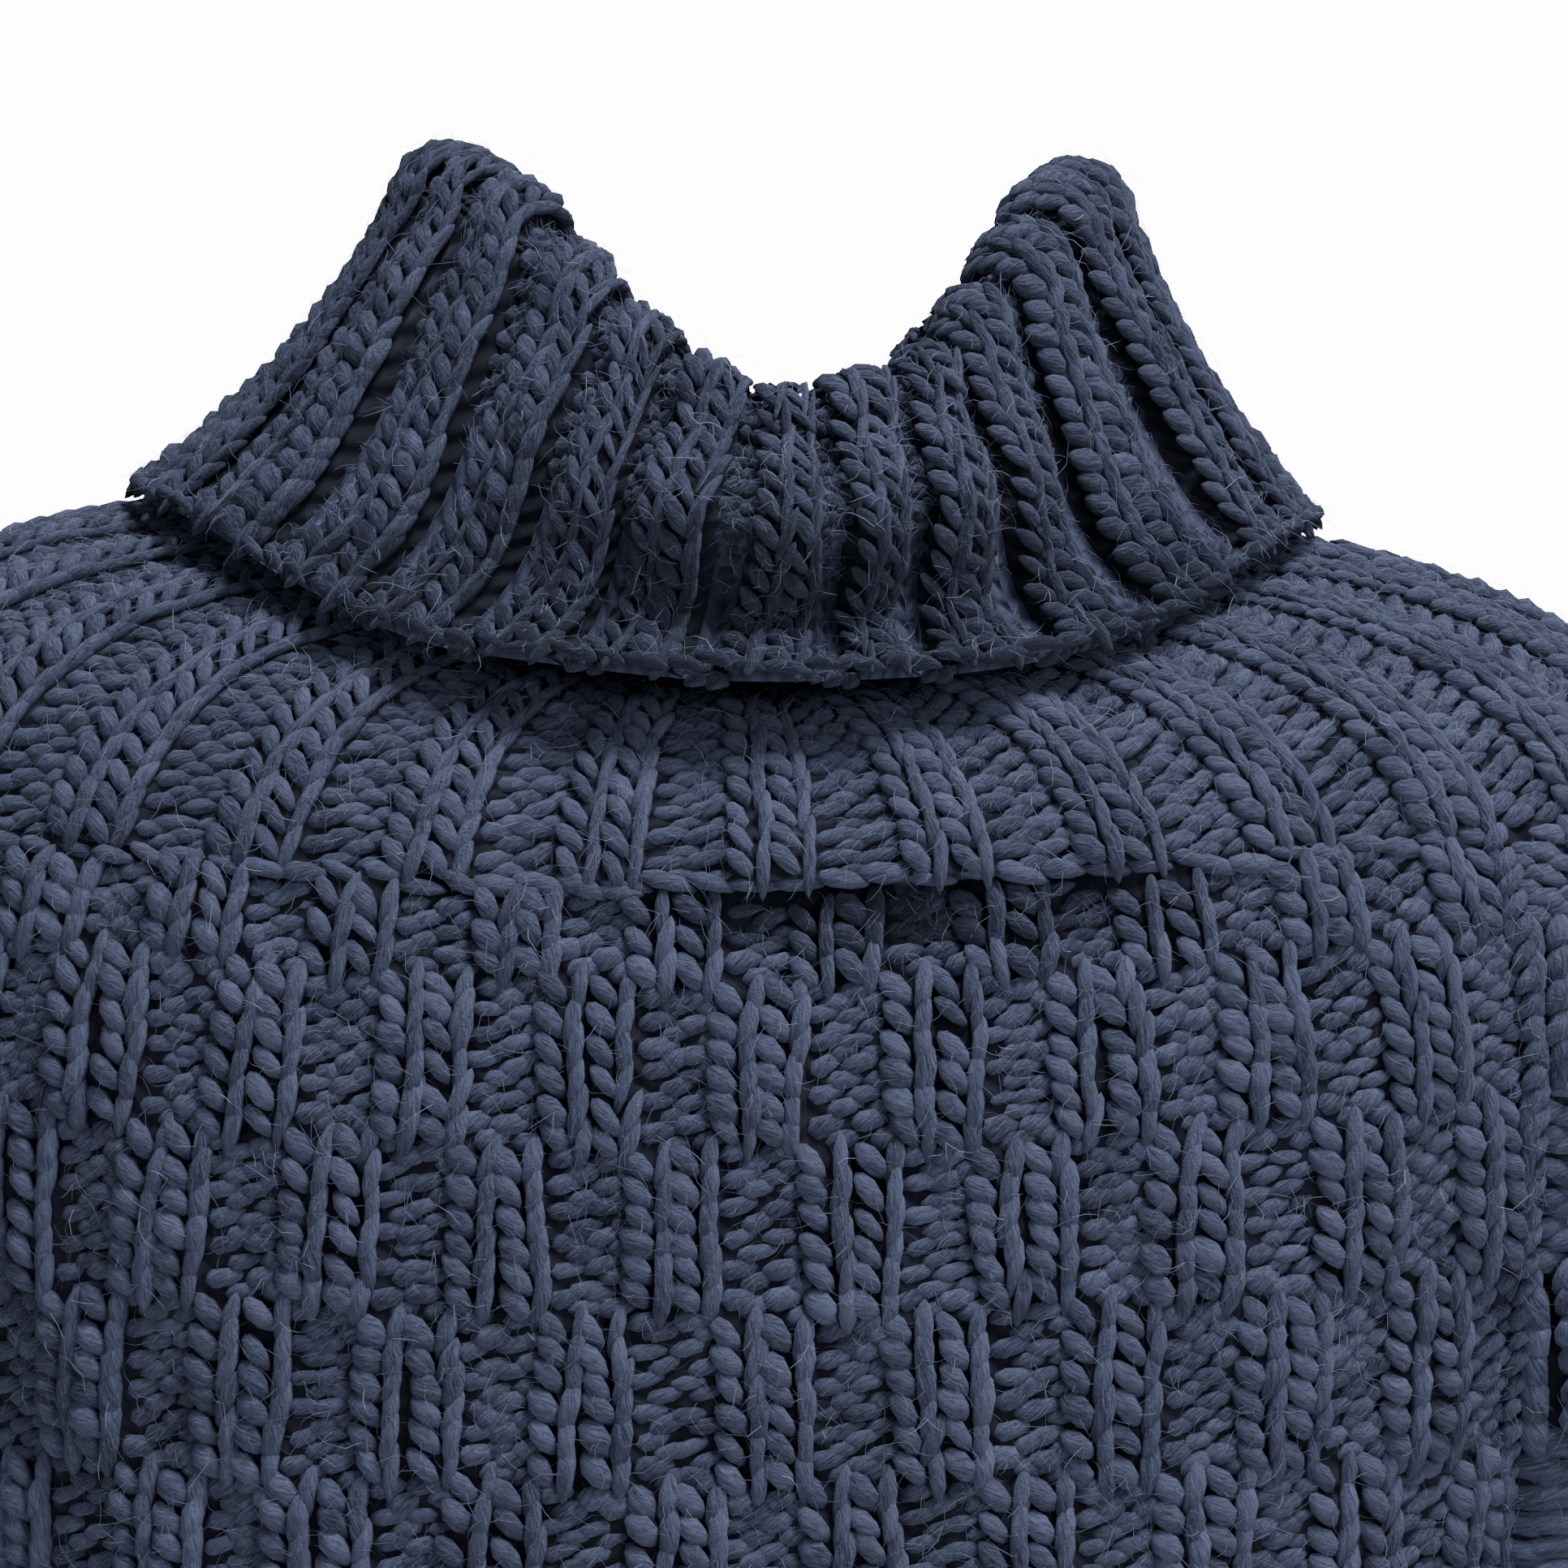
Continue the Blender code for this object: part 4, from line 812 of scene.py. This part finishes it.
def torso_ring(u, z):
    """The body at shares u of its girth and heights z, from the armpit down."""
    rows = [(-RINGS[k][4], *RINGS[k][:4]) for k in ("chest", "waist", "hem_top", "hem_edge")]
    sizes = smooth_table(rows, -z)
    t = smoothstep((z - CHEST_Z) / (HEM_TOP_Z - CHEST_Z))[..., None]
    p = ring("chest", u) * (1 - t) + ring("hem_top", u) * t
    wide = np.array(RINGS["chest"][:2]) * (1 - t) + np.array(RINGS["hem_top"][:2]) * t
    p[..., 0] *= sizes[..., 0] / wide[..., 0]
    p[..., 1] *= sizes[..., 1] / wide[..., 1]
    p[..., 2] = z
    fold = soft_folds(BODY_FOLDS, np.degrees(np.arctan2(p[..., 0], -p[..., 1])), z)
    fold *= smoothstep((CHEST_Z - z) / FOLD_EASE)
    return p + unit(p * (1, 1, 0)) * fold[..., None]


def join_over_armpit(top, leaving, bottom, v):
    """From the yoke's edge (v 0) to the armpit's level (v 1), going on over the edge."""
    length = np.linalg.norm(bottom - top, axis=-1, keepdims=True)
    arriving = unit(bottom - top + np.array([0, 0, -0.6]) * length)
    return cubic(top, unit(leaving) * length, bottom, arriving * length, v[..., None])


def panel_surface(blocks, down, back):
    """The front or back: blocks from its middle towards +X, down from the yoke."""
    part = np.clip(blocks / HALF_FRONT, -1, 1)
    u_top = 0.5 - part * (0.5 - YOKE_BACK_SHARE) if back else part * YOKE_FRONT_SHARE
    share = blocks / (2 * BODY_REPEATS)
    u_chest = 0.5 - share if back else share
    leaving = ring("yoke_edge", u_top) - ring("shoulder", u_top)
    upper = join_over_armpit(ring("yoke_edge", u_top), leaving,
                             torso_ring(u_chest, np.full(blocks.shape, CHEST_Z)),
                             np.clip(down / OVER_ARMPIT, 0, 1))
    lower = torso_ring(u_chest, CHEST_Z - np.maximum(down - OVER_ARMPIT, 0))
    return np.where((down < OVER_ARMPIT)[..., None], upper, lower)


def is_knit(blocks, down):
    """1 in a knit block and 0 in a purl one. A tier is offset by a block from the next."""
    tier = np.floor((down - TOP_TIER) / TIER).astype(int)
    return ((tier + np.floor(blocks).astype(int)) % 2 == 0).astype(float)


def under_overhang(points):
    """1 right under the yoke's overhanging edge, where the cloth lies deeper and the stitches get painted
    shadow, else 0.
    """
    near = smoothstep((points[..., 2] + 0.103) / 0.010)
    return near * overhang(points[..., 0], points[..., 1], np.ones(points.shape[:-1])) / YOKE_STEP


SUNK = 0.0030               # how much deeper the stitches lie under the yoke's edge, how much deeper the cloth does, and how much painted shadow darkens the stitches' wool there
CLOTH_SUNK = 0.00375        # how much deeper the cloth does,
PAINTED_SHADOW_UNDER_YOKE = 1.3                # and how much darker the stitches' wool is


def bulged(blocks, down):
    """Knit blocks swell over the purl ones beside them, most in the middle of a tier."""
    line = np.round(blocks)
    swell = np.where(is_knit(line - 0.5, down) > 0.5, 1.0, -1.0)
    within = np.mod((down - TOP_TIER) / TIER, 1.0)
    near = 1 - 2 * np.abs(blocks - line)
    uneven = 0.05 * np.sin(2.1 * blocks + 60 * down) + 0.04 * np.sin(3.7 * blocks - 110 * down + 1.3)
    return blocks + uneven + 0.10 * swell * near * np.sin(math.pi * within) ** 0.6


def sunk_rows(blocks, down):
    """Rows that ride a little up and down across the cloth, as hand knitting does."""
    return down + 0.0011 * np.sin(1.3 * blocks + 60 * down) + 0.0008 * np.sin(2.9 * blocks - 130 * down)


def block_height(blocks, down):
    """How far a place stands over the purl: each knit block is a low pillow."""
    within = np.mod((down - TOP_TIER) / TIER, 1.0)
    pillow = np.clip(np.sin(math.pi * within) * 1.9, 0, 1) ** 0.7
    return RELIEF * is_knit(blocks, down) * (0.35 + 0.65 * pillow)


def woven_stitches(surface, blocks, rows, keep, seed, side):
    """The stitches of a panel in basketweave. keep says which (block, down) are on it."""
    first = -int(TOP_TIER / ROW)
    down = TOP_TIER + (np.arange(first, rows) + 0.5) * ROW
    a, b = (x.ravel() for x in np.meshgrid(blocks, down))
    chosen = keep(a, b)
    a, b = a[chosen], b[chosen]
    knit = is_knit(a, b)
    within = np.mod((b - TOP_TIER) / TIER, 1.0)
    low, high = np.where(b < OVER_ARMPIT, 0, OVER_ARMPIT), np.where(b < OVER_ARMPIT, OVER_ARMPIT, 9.0)
    laid = stitch_frame(surface, bulged(a, b), np.clip(sunk_rows(a, b), low, high),
                        np.where(knit > 0, 0.58, 0.42), np.full(a.shape, ROW), low, high, side)
    plump = np.where((knit < 0.5) & ((within < 0.17) | (within > 0.83)), 1.22, 1.0)
    outer = np.where(np.mod(a, 1) < 0.5, -1, 1)
    return knit_strands(laid, knit, block_height(a, b), seed, outer, plump)


def panel_ground(name, surface, across, tiers, edge, side, wrap=False):
    """The cloth under a panel of basketweave, in half blocks by three rows."""
    half_tiers = np.arange((TIERS_OVER_ARMPIT + tiers) * 2 + 1)
    down = np.concatenate([[0, TOP_TIER / 2], TOP_TIER + half_tiers * TIER / 2])
    a, b = np.meshgrid(across, down)
    low = np.where(b <= OVER_ARMPIT + 1e-9, 0, OVER_ARMPIT)
    high = np.where(b < OVER_ARMPIT - 1e-9, OVER_ARMPIT, 9.0)
    base = surface(a, b)
    n = outward(surface, a, b, 0.05, 0.002, low, high, side)
    raised = 0.5 * (block_height(a - 0.02, b - 0.001) + block_height(a + 0.02, b + 0.001))
    middle_a, middle_b = (across[1:] + across[:-1]) / 2, (down[1:] + down[:-1]) / 2
    if wrap:
        middle_a = np.append(middle_a, edge + 1)
    mask = ~((np.abs(middle_a)[None, :] > edge) & (middle_b[:, None] < OVER_ARMPIT))
    columns = np.append(across, across[-1] + 0.5) * 2
    raised = raised - CLOTH_SUNK * under_overhang(base)
    return ground(name, base + n * (raised - GROUND_UNDER)[..., None], base - n * WALL,
                  columns, down / ROW, mask, wrap)


def on_body(a, b):
    """Whether a place is on the front or the back, and not in an armhole."""
    return (np.abs(a) < HALF_FRONT) | (b > OVER_ARMPIT)


half_girth = BODY_REPEATS // 2
body_blocks = (np.arange(-2 * half_girth, 2 * half_girth) + 0.5) / 2
body_across = np.arange(-2 * half_girth, 2 * half_girth + 1) / 2
top_blocks = (np.arange(-2 * HALF_FRONT, 2 * HALF_FRONT) + 0.5) / 2
for body_name, back in (("body_front", False), ("body_back", True)):
    side = -1 if back else 1

    def surface(a, b, back=back):
        return panel_surface(a, b, back)

    points = woven_stitches(surface, body_blocks, (TIERS_OVER_ARMPIT + TIERS_TO_HEM) * 6, on_body,
                            31 + back, side)
    place, over, down, out = stitch_frame(surface, top_blocks, np.full(top_blocks.shape, 0.001),
                                          0.5, 0.002, 0, OVER_ARMPIT, side)
    covered = overhang(place[:, 0], place[:, 1], np.ones(len(place))) / YOKE_STEP
    top_row = sideways_row(place + out * 0.0004, out, over, down, 35 + back,
                           low=0.0008, sunk=0.0008, width=0.0048, turn=0.2, length=1.45, wobble=0.0007)
    sunk = SUNK * under_overhang(points["place"])
    points["place"] = points["place"] - points["out"] * sunk[:, None]
    # Painted shadow: the stitches under the yoke's overhang are darkened in colour as well as sunk.
    points["shade"] = points["shade"] - PAINTED_SHADOW_UNDER_YOKE * sunk / SUNK
    points = together(points, part_of(top_row, covered < 0.25))
    cloth = panel_ground(body_name + "_cloth", surface, body_across, TIERS_TO_HEM, HALF_FRONT, side)
    yarn = lay_knit(body_name, points, 301 + 10 * back, np.full(len(points["place"]), not back))
    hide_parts(body_name)

# --- sleeves ------------------------------------------------------------------------------
# Two long sleeves in the same basketweave, picked up from the yoke over the arm and joined
# to the body under it. They taper to the wrist, with folds inside the elbow.

ARM_ANGLE, ARM_FORWARD = math.radians(22), 0.055
SLEEVE_EASE, ARMHOLE_TURN = 0.110, math.radians(128)
SLEEVE = (
    # along the arm, half width across, half depth
    (0.000, 0.056, 0.078),
    (0.100, 0.057, 0.070),
    (0.200, 0.053, 0.061),
    (0.300, 0.047, 0.052),
    (0.380, 0.043, 0.047),
)
SLEEVE_FOLDS = (
    # angle, along, width in degrees, length, depth
    (180, 0.150, 70, 0.014, -0.0060),
    (200, 0.195, 80, 0.014, -0.0070),
    (165, 0.240, 70, 0.015, -0.0060),
    (20, 0.300, 60, 0.020, -0.0040),
    (60, 0.325, 50, 0.016, -0.0040),
)
SLEEVE_BLOCKS = SLEEVE_CAP + 2 * HALF_UNDERARM
ALONG_ARM = np.array([math.sin(ARM_ANGLE), 0, -math.cos(ARM_ANGLE)])
ACROSS_ARM = np.array([math.cos(ARM_ANGLE), 0, math.sin(ARM_ANGLE)])
DEEP = np.array([0, -1, 0])
ARM_TOP = np.array([RINGS["chest"][0], 0, CHEST_Z]) + ACROSS_ARM * SLEEVE[0][1]


def arm_ring(blocks, along):
    """The right sleeve's tube: blocks from the top of the arm towards the front."""
    across, deep = np.moveaxis(smooth_table(SLEEVE, along), -1, 0)
    turn = TURN * blocks / SLEEVE_BLOCKS
    fold = soft_folds(SLEEVE_FOLDS, np.degrees(turn), along)
    forward = ARM_FORWARD * (along / SLEEVE[-1][0]) ** 2
    centre = ARM_TOP + ALONG_ARM * along[..., None] + DEEP * forward[..., None]
    return (centre + ACROSS_ARM * ((across + fold) * np.cos(turn))[..., None]
            + DEEP * ((deep + fold) * np.sin(turn))[..., None])


def armhole_level(blocks):
    """The ring where the sleeve's cap ends: round the arm, and along the body under it."""
    half_cap = SLEEVE_CAP / 2
    front_side = (np.sign(blocks) > 0)[..., None]
    beyond = np.clip((np.abs(blocks) - half_cap) / HALF_UNDERARM, 0, 1)
    share = (HALF_FRONT + beyond * HALF_UNDERARM) / (2 * BODY_REPEATS)
    level = np.full(blocks.shape, CHEST_Z)
    under = np.where(front_side, torso_ring(share, level), torso_ring(0.5 - share, level))
    turn = np.clip(blocks / half_cap, -1, 1) * ARMHOLE_TURN
    over = (ARM_TOP + ACROSS_ARM * (SLEEVE[0][1] * np.cos(turn))[..., None]
            + DEEP * (SLEEVE[0][2] * np.sin(turn))[..., None])
    seam_share = np.array(HALF_FRONT / (2 * BODY_REPEATS))
    seam = np.where(front_side, torso_ring(seam_share, np.array(CHEST_Z)),
                    torso_ring(0.5 - seam_share, np.array(CHEST_Z)))
    oval_end = (ARM_TOP + ACROSS_ARM * SLEEVE[0][1] * math.cos(ARMHOLE_TURN)
                + DEEP * SLEEVE[0][2] * math.sin(ARMHOLE_TURN) * np.sign(blocks)[..., None])
    pull = np.clip(np.abs(blocks) / half_cap, 0, 1)[..., None] ** 3
    return np.where((np.abs(blocks) > half_cap)[..., None], under, over + (seam - oval_end) * pull)


def sleeve_surface(blocks, down):
    """The right sleeve, down from the yoke over the arm, then along it."""
    part = np.clip(blocks / (SLEEVE_CAP / 2), -1, 1)
    u_top = (YOKE_FRONT_SHARE + YOKE_BACK_SHARE - part * (YOKE_BACK_SHARE - YOKE_FRONT_SHARE)) / 2
    level = armhole_level(blocks)
    leaving = ring("yoke_edge", u_top) - ring("shoulder", u_top)
    upper = join_over_armpit(ring("yoke_edge", u_top), leaving, level, np.clip(down / OVER_ARMPIT, 0, 1))
    along = np.maximum(down - OVER_ARMPIT, 0)
    t = smoothstep(along / SLEEVE_EASE)[..., None]
    lower = (level + ALONG_ARM * along[..., None]) * (1 - t) + arm_ring(blocks, along) * t
    return np.where((down < OVER_ARMPIT)[..., None], upper, lower)


def left_sleeve_surface(blocks, down):
    """The left sleeve mirrors the right one."""
    return sleeve_surface(blocks, down) * (-1, 1, 1)


def on_sleeve(a, b):
    """Whether a place is on the sleeve, and not past its cap's edge."""
    return (np.abs(a) < SLEEVE_CAP / 2) | (b > OVER_ARMPIT)


JOIN_STEP, JOIN_LIFT = 0.0052, 0.0012


def armhole_join(surface, side, seed):
    """The stitches that join the sleeve to the front and the back, down each armhole."""
    down = np.arange(0.004, OVER_ARMPIT, JOIN_STEP)
    found = []
    for end in (-1, 1):
        blocks = np.full(down.shape, end * SLEEVE_CAP / 2)
        place, over, fall, out = stitch_frame(surface, blocks, down, 0.3, 0.006, 0, OVER_ARMPIT, side)
        turned_out = unit(out + DEEP * end)
        slant = unit(over) * (1.5 * ROW) * end
        found.append(sideways_row(place + turned_out * JOIN_LIFT, turned_out, slant, fall, seed + end,
                                  low=0.0, sunk=0.0, width=0.0046, turn=0.9, length=1.0, wobble=0.0005))
    return together(*found)


half_round = SLEEVE_BLOCKS // 2
sleeve_blocks = (np.arange(-2 * half_round, 2 * half_round) + 0.5) / 2
sleeve_across = np.arange(-2 * half_round, 2 * half_round) / 2
for sleeve_name, surface, side in (("sleeve_right", sleeve_surface, -1),
                                   ("sleeve_left", left_sleeve_surface, 1)):
    points = woven_stitches(surface, sleeve_blocks, (TIERS_OVER_ARMPIT + TIERS_TO_CUFF) * 6, on_sleeve,
                            41 + side, side)
    points = together(points, armhole_join(surface, side, 46))
    cloth = panel_ground(sleeve_name + "_cloth", surface, sleeve_across, TIERS_TO_CUFF,
                         SLEEVE_CAP // 2, side, wrap=True)
    yarn = lay_knit(sleeve_name, points, 405 + 10 * side, points["place"][:, 1] < 0.0)
    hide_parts(sleeve_name)

# --- hem band -----------------------------------------------------------------------------
# A ribbed band below the body, two knit and two purl, drawn in a little at its edge.

HEM_HEIGHT = 0.064
BAND_KNIT, BAND_RIB = 0.58, 0.9 * RELIEF
EDGE_UP = 0.0022            # the cast-off row lies this far over the lower edge
LAST_ROW, SHORTENED = 0.0062, 0.55          # the stitches next to it are shorter


def hem_surface(u, down):
    """The hem band goes on from the body."""
    return torso_ring(u, HEM_TOP_Z - down)


def ribbed_band(name, surface, repeats, height, phase, seed, side):
    """The cloth and yarn of a ribbed band with a cast-off row along its lower edge."""
    places = ribbed_places(repeats, BAND_KNIT, phase)
    u, v, step, column = rows_along(surface, places, 0.0, height)
    knit = (column % 4 < 2).astype(float)
    width = np.where(knit > 0, BAND_KNIT, 1 - BAND_KNIT) / 2 / repeats
    step = np.maximum(step, 1e-4) * np.where(v > height - LAST_ROW, SHORTENED, 1)
    laid = stitch_frame(surface, u, v, width, step, 0, height, side)
    points = knit_strands(laid, knit, knit * BAND_RIB, seed, np.where(column % 4 == 0, -1, 1))
    edge_u = ribbed_places(repeats, 0.5, phase)
    place, over, fall, out = stitch_frame(surface, edge_u, np.full(edge_u.shape, height - EDGE_UP),
                                          0.25 / repeats, 0.004, 0, height, side)
    points = together(points, sideways_row(place, out, over, fall, seed + 5, low=0.0, sunk=0.0004,
                                           width=0.0046, turn=0.2, length=1.45, wobble=0.0005))
    down = np.linspace(0, height, 6)
    gu, gv = np.meshgrid(edge_u, down)
    base = surface(gu, gv)
    n = outward(surface, gu, gv, 1e-3, 1e-3, 0, height, side)
    rib = BAND_RIB * np.tile([1.0, 1, 0, 0], repeats)[None, :] * np.ones(gv.shape)
    cloth = ground(name + "_cloth", base + n * (rib - GROUND_UNDER)[..., None], base - n * WALL,
                   np.arange(4 * repeats + 1.0), down / ROW, wrap=True)
    yarn = lay_knit(name, points, seed * 10, np.zeros(len(points["place"]), bool))
    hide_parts(name)
    return cloth, yarn


cloth, yarn = ribbed_band("hem_band", hem_surface, BODY_REPEATS, HEM_HEIGHT, 0.25, 51, 1)

# --- cuffs --------------------------------------------------------------------------------
# Ribbed cuffs at the ends of the sleeves, as the hem band, closer round the wrist.

CUFF_LENGTH, CUFF_REPEATS = 0.070, 7
CUFF_HALF_WIDTH, CUFF_HALF_DEPTH = 0.037, 0.040


def cuff_surface(turns, down):
    """The right cuff: turns once round from the top of the arm towards the front."""
    end = SLEEVE[-1]
    start = arm_ring(turns * SLEEVE_BLOCKS, np.full(turns.shape, end[0]))
    way = unit(ALONG_ARM + DEEP * 2 * ARM_FORWARD / end[0])
    centre = ARM_TOP + ALONG_ARM * end[0] + DEEP * ARM_FORWARD
    a = TURN * turns
    ring_end = (centre + ACROSS_ARM * (CUFF_HALF_WIDTH * np.cos(a))[..., None]
                + DEEP * (CUFF_HALF_DEPTH * np.sin(a))[..., None])
    pulled = smoothstep((down / CUFF_LENGTH)[..., None] * 2.2)
    return start * (1 - pulled) + ring_end * pulled + way * down[..., None]


def left_cuff_surface(turns, down):
    """The left cuff mirrors the right one."""
    return cuff_surface(turns, down) * (-1, 1, 1)


for cuff_name, surface, side in (("cuff_right", cuff_surface, -1), ("cuff_left", left_cuff_surface, 1)):
    cloth, yarn = ribbed_band(cuff_name, surface, CUFF_REPEATS, CUFF_LENGTH, RIB_PHASE, 61 + side, side)

# --- room ---------------------------------------------------------------------------------
# A plain pale floor under soft studio light from above, and the camera level with the chest.

FLOOR_Z = -0.672
CAMERA_AWAY = 1.62
LAMPS = (
    # name, place, aim, size, power, tint
    ("overhead", (0.50, -0.80, 1.65), (0, 0, -0.18), 0.6, 55, (1.0, 1.0, 1.0)),
    ("front_right", (1.4, -1.8, 0.4), (0, 0, -0.35), 0.8, 15, (1.0, 1.0, 1.0)),
    ("front_left", (-1.4, -1.9, 0.3), (0, 0, -0.4), 0.9, 7, (0.95, 0.98, 1.0)),
    ("back", (0.2, 1.8, 1.2), (0, 0, -0.1), 1.4, 18, (1.0, 1.0, 1.0)),
)
floor_mesh = bpy.data.meshes.new("floor")
corners = [(x, y, FLOOR_Z) for x, y in ((-6, -6), (6, -6), (6, 6), (-6, 6))]
floor_mesh.from_pydata(corners, [], [(0, 1, 2, 3)])
paint = bpy.data.materials.new("pale_floor")
paint.use_nodes = True
mottle = add_node(paint.node_tree, "ShaderNodeTexNoise", {"Scale": 3.0})
pale = add_node(paint.node_tree, "ShaderNodeMix", {
    0: mottle.outputs[0], 6: (0.80, 0.80, 0.80, 1), 7: (0.84, 0.84, 0.84, 1),
}, data_type="RGBA")
surface_of_floor = paint.node_tree.nodes["Principled BSDF"].inputs
paint.node_tree.links.new(pale.outputs[2], surface_of_floor["Base Color"])
surface_of_floor["Roughness"].default_value = 0.9
floor_mesh.materials.append(paint)
in_scene("floor", floor_mesh)

world = bpy.data.worlds.new("white_room")
bpy.context.scene.world = world
world.use_nodes = True
rays = world.node_tree.nodes.new("ShaderNodeLightPath")
strength = add_node(world.node_tree, "ShaderNodeMix", {0: rays.outputs["Is Camera Ray"], 2: 0.10, 3: 14.0})
background = world.node_tree.nodes["Background"].inputs
background["Color"].default_value = (1, 1, 1, 1)
world.node_tree.links.new(strength.outputs[0], background["Strength"])

for light_name, place, aim, size, power, tint in LAMPS:
    light = bpy.data.lights.new(light_name, "AREA")
    light.size, light.energy, light.color = size, power, tint
    lamp = in_scene(light_name, light)
    lamp.location = place
    way = np.array(aim, float) - np.array(place, float)
    lamp.rotation_euler = (math.atan2(math.hypot(way[0], way[1]), -way[2]), 0,
                           math.atan2(way[1], way[0]) - math.pi / 2)

lens = bpy.data.cameras.new("camera")
lens.lens, lens.sensor_width = 151, 36
lens.clip_start, lens.clip_end = 0.05, 50
camera = in_scene("camera", lens)
camera.location = (VIEW_X, -CAMERA_AWAY, VIEW_Z)
camera.rotation_euler = (math.pi / 2, 0, 0)
bpy.context.scene.camera = camera

for pattern in (STRAND, STRAND_SIMPLE):
    shape = pattern.data
    bpy.data.objects.remove(pattern)
    bpy.data.meshes.remove(shape)
